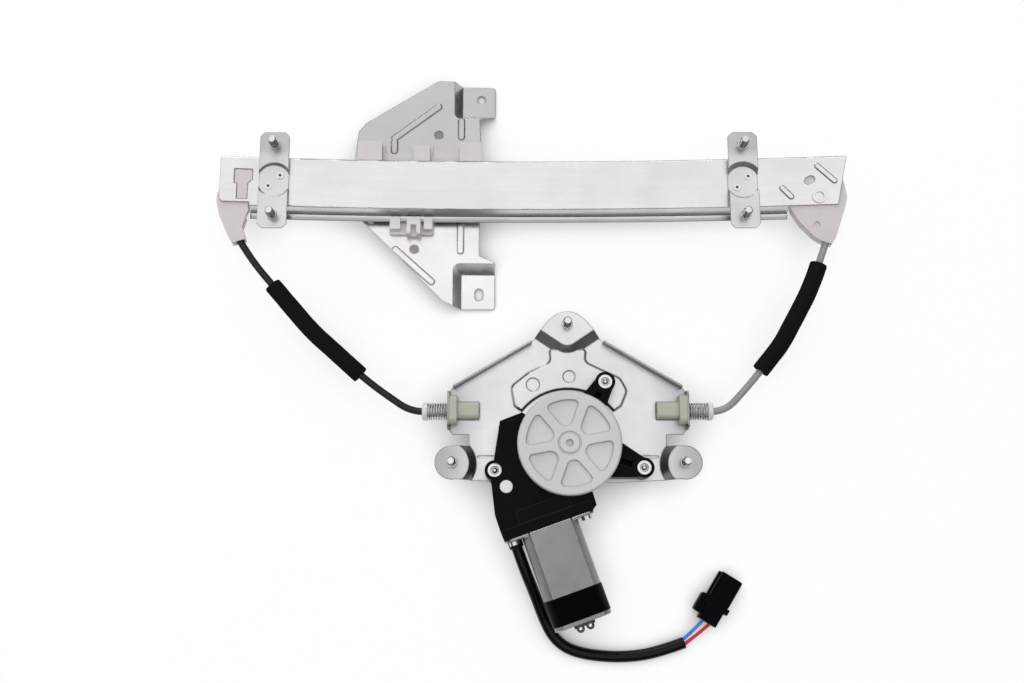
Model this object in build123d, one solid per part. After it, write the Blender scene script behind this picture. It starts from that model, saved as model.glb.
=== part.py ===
"""Cable-driven power window regulator for a car door.

A bowed guide rail carries a sliding glass carrier. Two Bowden cables run from the
carrier, round a plastic guide at each end of the rail and through flexible conduits to
a cable drum behind the motor plate. A worm gear motor in front of the plate turns the drum.

Frame: millimetres. X runs along the rail, Y points from the motor to the rail and Z
points to the inner side of the door, where the mounting studs stand. The origin lies
under the middle of the regulator, on the surface that it rests on, glass side down.
"""

import math
import os

from build123d import *

# ---------------------------------------------------------------- driving dimensions
# guide rail, a rolled channel that is open towards the glass
rail_y = 109.3          # centre line of the rail
bow_r = 2100.0          # bow of the rail, measured to the front of its web
web_z = 28.0            # front of the web at the lowest point of the bow
web_w = 35.0
rail_depth = 10.5
rail_t = 1.2
wall_lean = (2.7, 1.5)  # how far the lower and the upper side wall lean out over their depth
lip_w = (3.9, 2.0)      # lower and upper lip
rail_bend_r = 0.9
rail_left = -214.5
rail_right = 218.0
rail_end_slant = 7.6    # the right end is cut at a slant
rail_corner_r = 4.5     # round corner of the left end
low_wall_left = -194.0  # the lower wall and lip stop short of both guides
low_wall_right = 177.0
left_web_cut = 2.4      # the web is narrower where the lower wall is missing on the left
right_web_cut = 0.2

# stamped straps that bolt the rail to the door
strap_x = (-177.5, 146.3)
strap_w = 20.3
strap_half_l = 34.6
strap_t = 1.6
strap_z = 39.5          # front of the tabs, level on both straps
strap_stud_y = 25.3     # studs above and below the rail's centre line
pad_r = 12.6            # round pad that is pressed down onto the web
pad_gap = 0.04
clinch_offset = 3.9
clinch_r = 1.75
clinch_bore = 1.0
strap_corner = 3.0

# threaded studs
stud_r = 3.0
stud_l = 11.0
stud_neck_r = 2.6       # in the sheet
stud_chamfer = 0.8
stud_collar_r = 3.8
stud_collar_t = 1.2
stud_head_r = 5.2
stud_head_t = 1.4

# lifting cable
cable_r = 0.75
cable_gap = 0.35
cable_depth = 5.7       # below the front of the web
turn_r = 15.0           # cable's turn round each end guide
guide_x = (-199.0, 195.8)
exit_heading = (-57.0, -110.2)
guide_gap = 0.15
rivet_spot = (198.1, 98.1)
rivet_shank = 3.7
rivet_bore = 3.0
rivet_head_r = 5.0
rivet_head_t = 1.2

# conduits
conduit_r = 2.45
conduit_bore = 1.15
ferrule_r = 3.2
ferrule_l = 10.0
foam_r = 6.0
foam_gap = 0.3
conduit_start = (12.5, 17.0)       # from the end of the cable's turn, left and right
conduit_first_run = (28.0, 41.0)
conduit_middle = (
    ((-150.0, 6.0, 25.7), (-110.0, -29.5, 20.6)),
    ((170.0, -3.0, 25.2), (147.5, -31.0, 20.6)),
)
last_run = (8.0, 8.5)
conduit_tip_x = 86.0
foam_runs = ((1, 2), (0, 2))       # first and last run of the route under the foam
foam_share = ((0.27, 0.85), (0.40, 0.66))

# glass carrier
carrier_x = -76.0
carrier_front = 12.5
carrier_t = 1.6
tab_drop = 10.0
shoe_gap = 0.35
shoe_relief = (0.8, 0.3)    # extra room beside the bend of the lower and the upper lip
glass_hole_r = 3.05
upper_hole = (41.4, 184.1)
lower_hole = (40.4, 36.9)
slot_l = 9.0
holder_pin = 2.0
holder_half_l = 17.0
holder_half_w = 5.5
nipple_pocket = 9.0     # inner end of each nipple's pocket, from the holder's middle
nipple_r = 2.5
nipple_l = 6.5

# motor plate
axis_x = 24.3           # axis of the drum and the worm wheel
axis_y = -73.1
plate_front = 20.0
plate_t = 1.5
lobe_rise = 6.0
pad_rise = 1.6            # also lifts the upper boss of the gear housing
lobe_stud = (77.8, -10.7)
lobe_r = 11.3
top_stud_y = 83.6
fitting_y = 24.7        # line of both conduit fittings, from the drum's axis
cable_line_z = 17.0
ear_x = 81.0            # outer faces of the two upright ears
ear_rise = 9.0
ear_w = 26.0
edge_line = ((24.0, 72.7), (78.4, 40.4))
edge_rise = 7.5         # flanges along the slanted edges

# conduit fittings
spring_l = 14.0
spring_r = 6.1
spring_wire = 0.55
spring_turns = 8
collar_l = 3.4
sleeve_r = 3.5
bush_l = 14.6
bush_stop = 8.0         # from the bush's inner end to the bore for the sleeve
bush_nose_r = 4.6
bush_w = 11.5
bush_top = 26.0
bush_bottom = 11.5
flange_t = 4.9
flange_w = 19.6
flange_top = 30.0
fit_gap = 0.05

# gear motor
motor_tilt = 19.5       # the motor leans from the -Y direction towards +X
motor_z = 31.0          # worm axis above the base
worm_offset = 30.3      # worm axis from the wheel's axis
teeth = 60
wheel_r = 25.4          # pitch radius
tooth_h = 1.5
wheel_t = 9.0
tooth_gap = 0.32
worm_core = 3.4
worm_l = 24.0
cup_r = 32.6
cup_wall = 3.6
cup_top = 42.0
cover_r = 34.2
cover_t = 3.8
cover_drop = 2.2        # depth of the windows pressed in the cover
spoke_w = 6.3           # spokes left between the windows
window_r = 28.4
tunnel_r = 9.6
body_drop = 2.0         # the housing's body is this much lower than its cup
chamber_half_w = 15.7   # room for the brush card
chamber_half_h = 9.4
chamber_start = 30.6
chamber_wall = 2.2
worm_bore_r = 7.0
tunnel_top = -27.0      # end of the worm tunnel, along the motor's axis
motor_face = 45.6       # joint between housing and motor, along the motor's axis
can_r = 19.2
can_half_t = 13.5
can_wall = 1.4
can_end = 110.0
band_start = 90.0
band_end = 107.4
band_t = 0.5
shaft_pin = 2.0         # motor shaft
eye_spots = (-2.9, 3.7)     # eyes of the rest on the can's end
eye_r = 2.6
eye_bore = 1.1
eye_out = 3.2
flange_half_w = 30.0
flange_half_t = 12.0
motor_screw = 25.0
boss_spots = ((24.5, 42.1), (49.2, -15.1), (-48.9, -16.9))
boss_lift = (pad_rise, 0.0, 0.0)   # the upper boss stands on the plate's raised pad
boss_top = 36.0
boss_r = 6.7
sleeve_ring_r = 4.6
screw_r = 2.5
plug_spot = (-41.3, -27.9)
plug_r = 4.25

# cable drum and its housing, behind the plate
drum_r = 21.0           # cable centre line on the drum
drum_bottom = 5.4
drum_top = 17.9
drum_flange_r = 23.4
groove_count = 4
groove_pitch = 2.5
groove_z = 7.9          # lowest groove
drum_cable_z = (15.4, 10.4)
winding_gap = 0.35      # between a winding and the cable's still end
shaft_r = 5.5
shaft_tip_r = 3.0
pot_r = 27.4
pot_wall = 2.0
pot_floor = 2.2
pot_arm_t = 4.0
flat_half = 4.4         # flats of the shaft in the drum
groove_over = 0.2       # the rims stand this far over the cable's centre line

# wiring
sheath_r = 3.8
wire_r = 1.1
wire_first_run = 6.2
grommet_spot = (-24.2, -8.6)
grommet_out = 6.0
grommet_r = 4.5
plug_spot_xy = (115.0, -187.5)
plug_heading = 58.0
plug_z = 7.2
plug_pitch = 5.0
hood_l = 20.0
hood_w = 15.0
hood_h = 12.6
hood_wall = 1.5

# ---------------------------------------------------------------- worked-out values
sleeve_end = ear_x + spring_l + collar_l
bow_centre_z = web_z + bow_r
bow_axis = Axis((0, 0, bow_centre_z), (0, -1, 0))
cable_z = web_z - cable_depth
cable_bow_r = bow_r + cable_depth
lip_z = web_z - rail_depth
bush_inner = ear_x - plate_t - flange_t - bush_l
plate_back = plate_front - plate_t
housing_top = cup_top - body_drop
tilt = math.radians(motor_tilt)
motor_dir = Vector(math.sin(tilt), -math.cos(tilt), 0)
across_dir = Vector(math.cos(tilt), math.sin(tilt), 0)
worm_spot = Vector(axis_x, axis_y, motor_z) - across_dir * worm_offset
motor_plane = Plane(origin=worm_spot, x_dir=across_dir, z_dir=motor_dir)
motor_from_axis = Plane(
    origin=Vector(0, 0, motor_z) - across_dir * worm_offset, x_dir=across_dir, z_dir=motor_dir
)


# ---------------------------------------------------------------- helpers
def save(node, shape):
    """Write one sub-part to its own file."""
    export_step(shape, f"parts/{node}.step")


def at_axis(x, y, z=0.0):
    """Location measured from the drum's axis."""
    return Pos(axis_x + x, axis_y + y, z)


def on_bow(shape, x):
    """Carry a shape made at the lowest point of the bow along the rail to x."""
    return shape.rotate(bow_axis, math.degrees(math.asin(x / bow_r)))


def bow_point(x_from, x, y, z):
    """Where the point x, y, z lies after on_bow carries it to x_from."""
    turn = math.asin(x_from / bow_r)
    drop = bow_centre_z - z
    return Vector(
        x * math.cos(turn) + drop * math.sin(turn),
        y,
        bow_centre_z - drop * math.cos(turn) + x * math.sin(turn),
    )


def bowed(face, x_start, x_end):
    """Sweep a section of the YZ plane along the bow."""
    first = math.degrees(math.asin(x_start / bow_r))
    last = math.degrees(math.asin(x_end / bow_r))
    return revolve(face.rotate(bow_axis, first), axis=bow_axis, revolution_arc=last - first)


def rounded(points, radius):
    """Closed face with rounded corners."""
    return make_face(FilletPolyline(*points, radius=radius, close=True))


def prism(face, z_low, z_high):
    """Upright prism over a face drawn in the XY plane."""
    return extrude(Pos(0, 0, z_low) * face, z_high - z_low)


def frustum(face, z, rise, slope):
    """Tapered block over a face, narrowing away from z. A negative rise goes down."""
    direction = (0, 0, 1) if rise > 0 else (0, 0, -1)
    return extrude(Pos(0, 0, z) * face, abs(rise), dir=direction, taper=slope)


def pressed(sheet, outline, face, z_back, thickness, rise, slope):
    """Press a region of a flat sheet up or down, leaving the sheet's own thickness."""
    z_from = z_back if rise > 0 else z_back + thickness
    step = thickness if rise > 0 else -thickness
    hill = frustum(face, z_from, rise, slope)
    shell = hill.moved(Pos(0, 0, step)) & outline
    return (sheet + shell) - hill


def tube_path(points):
    """Straight runs joined by tangent arcs as large as the runs allow."""
    radii = corner_radii(points)
    return FilletPolyline(*points, radius=radii)


def corner_radii(points):
    """Radius of each arc of a route, from its two runs and its turn."""
    radii = []
    for before, corner, after in zip(points, points[1:], points[2:]):
        run_in = Vector(*corner) - Vector(*before)
        run_out = Vector(*after) - Vector(*corner)
        half_turn = math.radians(run_in.get_angle(run_out)) / 2
        radii.append(0.45 * min(run_in.length, run_out.length) / math.tan(half_turn))
    return radii


def tube(path, radius, bore=0.0):
    """Round bar or tube along a path."""
    start = Plane(origin=path @ 0, z_dir=path % 0)
    section = Circle(radius) - Circle(bore) if bore else Circle(radius)
    return sweep(start * section, path=path)


def stud():
    """Stud on the origin: shank and collar in front of the sheet."""
    shank = cyl(stud_r, 0, stud_l)
    shank = chamfer(shank.edges().sort_by(Axis.Z)[-1], stud_chamfer)
    return shank + cyl(stud_collar_r, 0, stud_collar_t)


def headed_stud(sheet_t):
    """Stud pressed through a sheet whose front face is at z 0."""
    neck = cyl(stud_neck_r, -sheet_t, 0)
    head = cyl(stud_head_r, -sheet_t - stud_head_t, -sheet_t)
    return stud() + neck + head


def cyl(radius, z_low, z_high, x=0.0, y=0.0):
    """Upright cylinder between two heights."""
    return Pos(x, y, (z_low + z_high) / 2) * Cylinder(radius, z_high - z_low)


def ring(outer, inner, z_low, z_high, x=0.0, y=0.0):
    """Upright tube between two heights."""
    return cyl(outer, z_low, z_high, x, y) - cyl(inner, z_low, z_high, x, y)


def block(x_low, x_high, y_low, y_high, z_low, z_high):
    """Box between two corners."""
    size = (x_high - x_low, y_high - y_low, z_high - z_low)
    middle = ((x_low + x_high) / 2, (y_low + y_high) / 2, (z_low + z_high) / 2)
    return Pos(*middle) * Box(*size)


# ---------------------------------------------------------------- rail
def rail_section():
    """Channel with leaning walls and lips turned out, drawn round the web's front."""
    upper = rail_half_section(1)
    lower = [(-y, z) for y, z in reversed(rail_half_section(-1))]
    face = make_face(Polyline(*upper, *lower, close=True))
    corners = [v for v in face.vertices() if -lip_edge(-1) + 0.1 < v.X < lip_edge(1) - 0.1]
    face = fillet(corners, rail_bend_r)
    return Plane.YZ * Pos(rail_y, web_z) * face


def wall_foot(sign):
    """Outer side of a wall where it meets its lip, from the rail's centre line."""
    return web_w / 2 + wall_lean[sign > 0]


def lip_edge(sign):
    """Edge of the upper lip, or of the lower one where sign is -1."""
    return wall_foot(sign) + lip_w[sign > 0]


def rail_half_section(sign):
    """Points of one half of the channel: wall and lip."""
    half, foot, edge, t = web_w / 2, wall_foot(sign), lip_edge(sign), rail_t
    return [
        (half, 0), (foot, -rail_depth + t), (edge, -rail_depth + t),
        (edge, -rail_depth), (foot - t, -rail_depth), (half - t, -t),
    ]


def make_rail():
    """Bowed rail with its end windows, beads and rivet holes."""
    rail = bowed(rail_section(), rail_left, rail_right)
    bottom = web_z - rail_depth - 2
    top = web_z + 30
    half = web_w / 2
    edge = rail_y - half + left_web_cut
    slant = make_face(
        Polyline(
            (rail_right + rail_end_slant, rail_y + half + web_w),
            (rail_right - 2 * rail_end_slant, rail_y - half - web_w),
            (rail_right + web_w, rail_y - half - web_w),
            (rail_right + web_w, rail_y + half + web_w),
            close=True,
        )
    )
    reach = rail_corner_r - 0.3
    corner = block(rail_left - 1, rail_left + reach, edge - 1, edge + reach, bottom, top)
    corner = corner - cyl(rail_corner_r, bottom, top, rail_left + reach, edge + reach)
    rail = rail - low_wall_cut(rail_left - 5, low_wall_left, left_web_cut)
    rail = rail - low_wall_cut(low_wall_right, rail_right + 5, right_web_cut)
    rail = rail - prism(slant, bottom, top) - corner - prism(key_window(0), bottom, top)
    rail = rail - prism(Pos(192.1, 110.0) * Rot(0, 0, 30) * SlotOverall(7.6, 5.4), bottom, top)
    rail = rail - on_bow(cyl(rivet_shank, bottom, top, 0, rivet_spot[1]), rivet_spot[0])
    for x, y, length, angle in ((176.2, 101.4, 13.0, -48.0), (203.2, 114.4, 20.0, -45.0)):
        bead = frustum(SlotOverall(length, 4.4), web_z - 0.3, 1.2, 30)
        rail = rail + on_bow(Pos(0, y, 0) * Rot(0, 0, angle) * bead, x)
    for x in strap_x:
        for hole in clinch_holes(x):
            rail = rail - hole
    return rail


def low_wall_cut(x_low, x_high, web_cut):
    """Room that is left where the lower wall and lip end, with a strip of the web."""
    middle = (x_low + x_high) / 2
    half = (x_high - x_low) / 2
    low = rail_y - web_w / 2
    bottom = web_z - rail_depth - 1
    beside = block(-half, half, low - 20, low + web_cut, bottom, web_z + 2)
    below = block(-half, half, low - 1, low + 2.4, bottom, web_z - rail_t - 0.35)
    return on_bow(beside + below, middle)


def key_window(gap):
    """T-shaped window of the left end, or the key in it when gap is positive."""
    left, right, mid, top, low = -204.9, -192.4, 107.4, 118.0, 96.2
    points = [
        (left + gap, top - gap),
        (right - gap, top - gap),
        (right - gap, mid + 3 + gap),
        (right - 3 - gap, mid + gap),
        (right - 3 - gap, low + gap),
        (left + 2 + gap, low + gap),
        (left + 2 + gap, mid + gap),
        (left + gap, mid + gap),
    ]
    return make_face(Polyline(*points, close=True))


# ---------------------------------------------------------------- end guides
def cable_turn(side, start_x, tail):
    """Cable's route past one end guide, flat at the lowest point of the bow.

    It starts at start_x, measured from the guide's centre, and ends tail past the turn.
    """
    heading = math.radians(exit_heading[side])
    leave = exit_point(side)
    end = (leave[0] + tail * math.cos(heading), leave[1] + tail * math.sin(heading))
    top = (0.0, rail_y)
    middle_angle = (math.pi / 2 + exit_angle(side)) / 2
    middle = (turn_r * math.cos(middle_angle), rail_y - turn_r + turn_r * math.sin(middle_angle))
    first = Line((start_x, rail_y), top)
    turn = ThreePointArc(top, middle, leave)
    last = Line(leave, end)
    return Wire([*first.edges(), *turn.edges(), *last.edges()])


def exit_angle(side):
    """Angle on the turn's circle where the cable leaves for the conduit."""
    heading = math.radians(exit_heading[side])
    return heading + math.pi / 2 if side else heading - math.pi / 2 + 2 * math.pi


def exit_point(side):
    """Point where the cable leaves the turn, measured from the guide's centre in x."""
    angle = exit_angle(side)
    return (turn_r * math.cos(angle), rail_y - turn_r + turn_r * math.sin(angle))


def guide_outline(side):
    """Outline of an end guide, measured from the guide's centre in x."""
    if side == 0:
        points = [
            (-14.5, 122.0), (-14.5, 103.2), (-17.0, 100.4), (-17.2, 94.0), (-14.8, 84.4),
            (-8.5, 70.3), (-5.3, 65.1), (3.6, 68.2), (0.9, 76.8), (2.7, 83.2), (4.5, 88.6),
            (4.2, 94.4), (13.4, 94.4), (13.4, 124.2), (-12.0, 124.2),
        ]
    else:
        points = [
            (-17.8, 94.4), (-16.9, 89.6), (-11.6, 80.2), (-3.4, 70.8), (0.7, 67.6), (4.0, 66.0),
            (9.1, 64.3), (11.8, 68.3), (18.6, 87.5), (21.1, 96.6), (20.8, 100.8), (19.4, 108.1),
            (17.2, 124.2), (-17.8, 124.2),
        ]
    return make_face(Polyline(*points, close=True))


def make_guide(side):
    """Moulded end guide with its curved cable groove and the socket of the conduit."""
    top = web_z - rail_t - guide_gap
    low = lip_z
    body = prism(guide_outline(side), low, top)
    route = cable_turn(side, -25 if side else 25, 40)
    groove = trace(route, line_width=2 * (cable_r + cable_gap))
    body = body - prism(groove, low - 1, cable_z + cable_r + cable_gap)
    body = body - socket_bore(side)
    body = body - ring(turn_r - 4.5, 6.2, low - 1, low + 5, 0, rail_y - turn_r)
    for angle in (30, 150, 270):
        rib = Rot(0, 0, angle) * Box(turn_r - 4, 1.4, 5, align=(Align.MIN, Align.CENTER, Align.MIN))
        body = body + Pos(0, rail_y - turn_r, low) * rib
    if side == 0:
        key = prism(Pos(-guide_x[0], 0) * key_window(0.35), top - 0.5, web_z - 0.4)
        body = body + key
    else:
        rivet_x = rivet_spot[0] - guide_x[1]
        body = body - cyl(rivet_shank + fit_gap, low - 1, top + 1, rivet_x, rivet_spot[1])
        body = body - cyl(2.2, top - 1.2, top + 1, -0.2, 78.2)
    return on_bow(body, guide_x[side])


def socket_bore(side):
    """Bore that takes the ferrule, along the conduit's first run."""
    heading = math.radians(exit_heading[side])
    x, y = exit_point(side)
    begin = conduit_start[side] - 1.2
    middle = begin + 20
    spot = (x + middle * math.cos(heading), y + middle * math.sin(heading), cable_z)
    lie = Plane(origin=spot, x_dir=(0, 0, 1), z_dir=(math.cos(heading), math.sin(heading), 0))
    return lie * Cylinder(ferrule_r + fit_gap, 40)


def make_ferrule(side):
    """Metal cap on the conduit's end, seated in the guide's socket."""
    heading = math.radians(exit_heading[side])
    x, y = exit_point(side)
    begin = conduit_start[side] - 1.2
    spot = (x + begin * math.cos(heading), y + begin * math.sin(heading), cable_z)
    lie = Plane(origin=spot, x_dir=(0, 0, 1), z_dir=(math.cos(heading), math.sin(heading), 0))
    shell = cyl(ferrule_r, 0, ferrule_l) - cyl(conduit_bore, -1, 2)
    shell = shell - cyl(conduit_r, 1.2, ferrule_l + 1)
    return on_bow(lie * shell, guide_x[side])


def make_guide_rivet():
    """Rivet with a sunk head that holds the right guide to the rail."""
    x, y = rivet_spot
    head = ring(rivet_head_r, rivet_bore, web_z + fit_gap, web_z + rivet_head_t)
    floor = cyl(rivet_bore + 0.1, web_z - 1.2, web_z - 0.2)
    shank = ring(rivet_shank - fit_gap, rivet_bore, lip_z - 0.6, web_z + 0.6)
    foot = ring(rivet_head_r, rivet_bore, lip_z - rivet_head_t, lip_z - fit_gap)
    return on_bow(Pos(0, y) * (head + floor + shank + foot), x)


# ---------------------------------------------------------------- straps
def strap_outline():
    """Strap with cut corners, round the rail's centre line."""
    w, h, cut = strap_w / 2, strap_half_l, strap_corner
    points = [
        (-w, -h + cut), (-w + cut, -h), (w - cut, -h), (w, -h + cut),
        (w, h - cut), (w - cut, h), (-w + cut, h), (-w, h - cut),
    ]
    return rounded(points, 1.5)


def strap_dish(x, grow):
    """Dish pressed down to the web, which is tilted by the bow at this place."""
    web_here = bow_centre_z - math.sqrt(bow_r ** 2 - x ** 2)
    floor_z = web_here + pad_gap + strap_t - grow
    top_z = strap_z + 6 - grow
    lean = math.degrees(math.asin(x / bow_r))
    floor = Pos(x, rail_y, floor_z) * Rot(0, -lean, 0) * Circle(pad_r - 1.5)
    level = Pos(x, rail_y, top_z) * Circle(pad_r + 3.0)
    return loft([floor, level])


def make_strap(x):
    """Stamped strap: level tabs and a round pad pressed down onto the web."""
    outline = Pos(x, rail_y) * strap_outline()
    column = prism(outline, 20, 60)
    sheet = prism(outline, strap_z - strap_t, strap_z)
    inner = strap_dish(x, 0)
    outer = strap_dish(x, strap_t)
    cap = block(x - 30, x + 30, rail_y - 50, rail_y + 50, strap_z, 70)
    strap = (sheet + (outer & column) - cap) - inner
    for sign in (-1, 1):
        strap = strap - cyl(stud_neck_r, 20, 60, x, rail_y + sign * strap_stud_y)
    for hole in clinch_holes(x):
        strap = strap - hole
    return strap


def make_strap_studs():
    """All four studs of the straps."""
    studs = [
        Pos(x, rail_y + sign * strap_stud_y, strap_z) * headed_stud(strap_t)
        for x in strap_x
        for sign in (-1, 1)
    ]
    return Compound(children=studs)


def make_clinches():
    """Small hollow rivets that join each strap to the web."""
    out = []
    for x in strap_x:
        for sign in (-1, 1):
            top = web_z + strap_t + pad_gap
            bottom = web_z - rail_t
            shank = ring(clinch_r - 0.03, clinch_bore, bottom - 0.6, top + 0.5)
            head = ring(2.6, clinch_bore, top + 0.03, top + 0.65)
            foot = ring(2.8, clinch_bore, bottom - 0.7, bottom - 0.02)
            rivet = Pos(sign * clinch_offset, rail_y + sign * clinch_offset) * (shank + head + foot)
            out.append(on_bow(rivet, x))
    return Compound(children=out)


def clinch_holes(x):
    """Holes for the two clinch rivets of the strap at x."""
    holes = []
    for sign in (-1, 1):
        offset = sign * clinch_offset
        holes.append(on_bow(cyl(clinch_r, web_z - 6, web_z + 4, offset, rail_y + offset), x))
    return holes


# ---------------------------------------------------------------- glass carrier
def make_carrier_plate():
    """Pressed steel plate with a dropped tab for the glass on each wing."""
    points = [
        (-48.4, 134.8), (-46.5, 154.0), (-41.2, 160.7), (3.1, 189.4), (10.3, 194.0),
        (29.0, 193.6), (51.6, 193.6), (51.6, 168.8), (40.2, 165.0), (41.2, 144.7),
        (40.2, 62.6), (51.6, 58.0), (51.6, 26.2), (23.0, 26.0), (15.0, 29.6),
        (-21.8, 67.0), (-44.3, 89.1),
    ]
    outline = rounded(points, 2.2)
    z_back = carrier_front - carrier_t
    column = prism(outline, -5, 40)
    sheet = prism(outline, z_back, carrier_front)
    upper = Pos(48, 192) * RectangleRounded(52, 54, 5)
    lower = Pos(48, 27) * RectangleRounded(52, 60, 5)
    for face in (upper, lower):
        sheet = pressed(sheet, column, face, z_back, carrier_t, -tab_drop, 30)
    beads = [
        ((10.6, 173.8), (-20.7, 149.3)), ((-20.7, 146.5), (-20.7, 139.8)),
        ((27.0, 163.0), (27.0, 151.0)), ((27.0, 85.0), (27.0, 66.0)),
        ((-36.0, 88.0), (-36.0, 99.0)), ((-18.5, 66.5), (7.0, 43.5)),
    ]
    for first, second in beads:
        sheet = pressed(sheet, column, slot_between(first, second, 5.0), z_back, carrier_t, 0.9, 35)
    sheet = sheet - cyl(3.2, -5, 40, 10.9, 152.3)
    sheet = sheet - cyl(3.2, -5, 40, -5.3, 67.0)
    sheet = sheet - cyl(glass_hole_r, -5, 40, *upper_hole)
    slot = Pos(*lower_hole) * Rot(0, 0, 90) * SlotOverall(slot_l, 2 * glass_hole_r)
    sheet = sheet - prism(slot, -5, 40)
    for sign in (-1, 1):
        sheet = sheet - cyl(holder_pin, -5, 40, sign * nipple_pocket, rail_y)
    return sheet


def slot_between(first, second, width):
    """Straight slot between two points."""
    middle = ((first[0] + second[0]) / 2, (first[1] + second[1]) / 2)
    dx, dy = second[0] - first[0], second[1] - first[1]
    angle = math.degrees(math.atan2(dy, dx))
    return Pos(*middle) * Rot(0, 0, angle) * SlotOverall(math.hypot(dx, dy) + width, width)


def lip_channel(sign, x_low, x_high):
    """Room that the rail's lip needs in a slider, swept along the bow."""
    low = lip_z - shoe_gap
    high = lip_z + rail_t + shoe_gap
    edge = lip_edge(sign) + 0.5
    inside = web_w / 2 - 2
    points = [(sign * edge, low), (sign * inside, low), (sign * inside, high), (sign * edge, high)]
    face = Plane.YZ * make_face(Polyline(*points, close=True))
    return bowed(Pos(0, rail_y, 0) * face, x_low, x_high)


def wall_channel(sign, x_low, x_high):
    """Room for the leaning side wall above the lip."""
    gap = shoe_gap + 0.2
    high = web_z + 2
    foot = wall_foot(sign) + gap + shoe_relief[sign > 0]
    points = [(0, lip_z - shoe_gap), (sign * foot, lip_z - shoe_gap), (sign * foot, high), (0, high)]
    face = Plane.YZ * make_face(Polyline(*points, close=True))
    return bowed(Pos(0, rail_y, 0) * face, x_low, x_high)


def make_upper_slider():
    """Plastic slider with two shoes and a clip on the rail's upper lip."""
    front = carrier_front
    base = block(-45.5, 41.5, 127.0, 143.6, front, front + 2.4)
    base = base - block(-27, -8, 136.5, 150, front - 1, front + 4)
    base = base - block(7, 25.5, 136.5, 150, front - 1, front + 4)
    shoes = block(-45.5, -28.8, 128.0, 143.6, front, 22.3)
    shoes = shoes + block(26.0, 41.5, 128.0, 143.6, front, 22.3)
    shoes = fillet(shoes.edges().filter_by(Axis.Z), 1.5)
    clip = block(-6.5, 5.0, 128.0, 141.0, front, 21.6)
    clip = clip - block(-2.6, 1.2, 134.9, 150, front + 3, 19.0)
    slider = base + shoes + clip
    return slider - lip_channel(1, -60, 60) - wall_channel(1, -60, 60)


def make_lower_slider():
    """Plastic slider with a hooked clip on the rail's lower lip."""
    front = carrier_front
    base = block(-23.0, 8.4, 76.8, 96.0, front, front + 2.6)
    base = fillet(base.edges().filter_by(Axis.Z), 2.5)
    hook = block(-10.4, -0.8, 75.2, 91.0, front, 22.6)
    hook = fillet(hook.edges().filter_by(Axis.X).sort_by(Axis.Z)[-2:], 1.6)
    feet = block(-22.0, -15.0, 79.0, 91.0, front, 21.8) + block(1.5, 7.5, 79.0, 91.0, front, 21.8)
    slider = base + hook + feet
    slider = slider - block(-7.6, -3.6, 70, 82.0, front + 4.2, 30)
    return slider - lip_channel(-1, -60, 60) - wall_channel(-1, -60, 60)


def make_cable_holder():
    """Block on the carrier that holds the end nipples of both cables."""
    front = carrier_front
    l, w = holder_half_l, holder_half_w
    body = block(-l, l, rail_y - w, rail_y + w, front, cable_z + 3.6)
    body = fillet(body.edges().filter_by(Axis.Z), 2.0)
    hole = Plane.YZ * Circle(cable_r + cable_gap)
    body = body - bowed(Pos(0, rail_y, cable_z) * hole, -30, 30)
    for sign in (-1, 1):
        low, high = sorted((sign * nipple_pocket, sign * 30.0))
        pocket = Pos((low + high) / 2, rail_y, cable_z) * Rot(0, 90, 0)
        body = body - pocket * Cylinder(nipple_r + 0.3, high - low)
        body = body - block(low, high, rail_y - 1.3, rail_y + 1.3, cable_z, cable_z + 9)
        body = body + cyl(holder_pin, front - carrier_t, front + 1, sign * nipple_pocket, rail_y)
    return body


def make_nipples():
    """End nipples of both cables, seated in the holder's pockets."""
    out = []
    for sign in (-1, 1):
        middle = sign * (nipple_pocket + nipple_l / 2)
        body = Pos(middle, rail_y, cable_z) * Rot(0, 90, 0) * Cylinder(nipple_r, nipple_l)
        hole = Plane.YZ * Circle(cable_r + cable_gap)
        out.append(body - bowed(Pos(0, rail_y, cable_z) * hole, -30, 30))
    return Compound(children=out)


# ---------------------------------------------------------------- cables and conduits
def conduit_points(side):
    """Route of a conduit from its end in the guide to its end in the fitting."""
    heading = math.radians(exit_heading[side])
    x, y = exit_point(side)
    ends = []
    for reach in (conduit_start[side], conduit_start[side] + conduit_first_run[side]):
        spot = (x + reach * math.cos(heading), y + reach * math.sin(heading))
        ends.append(bow_point(guide_x[side], *spot, cable_z))
    line_y = axis_y + fitting_y
    sign = -1 if side == 0 else 1
    last_bend = Vector(axis_x + sign * (sleeve_end + last_run[side]), line_y, cable_line_z)
    fitting_end = Vector(axis_x + sign * conduit_tip_x, line_y, cable_line_z)
    return [*ends, *[Vector(*p) for p in conduit_middle[side]], last_bend, fitting_end]


def foam_points(side):
    """Part of the conduit's route that the foam sleeve covers."""
    points = conduit_points(side)
    first, last = foam_runs[side]
    begin = points[first] + (points[first + 1] - points[first]) * foam_share[side][0]
    end = points[last] + (points[last + 1] - points[last]) * foam_share[side][1]
    return [begin, *points[first + 1:last + 1], end]


def route_part(points, radii):
    """Path of given corners with the same arcs as the route that it belongs to."""
    return FilletPolyline(*points, radius=radii)


def make_conduit(side):
    """Flexible conduit from the guide to the fitting."""
    points = conduit_points(side)
    return tube(route_part(points, corner_radii(points)), conduit_r, conduit_bore)


def make_conduit_cable(side):
    """Cable inside the conduit, on to where it meets the drum."""
    points = conduit_points(side)
    radii = corner_radii(points)
    inside = route_part(points, radii)
    return tube(inside, cable_r)


def make_foam(side):
    """Soft sleeve that keeps the conduit from rattling."""
    points = foam_points(side)
    whole = corner_radii(conduit_points(side))
    first, last = foam_runs[side]
    return tube(route_part(points, whole[first:last]), foam_r, conduit_r + foam_gap)


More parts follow.
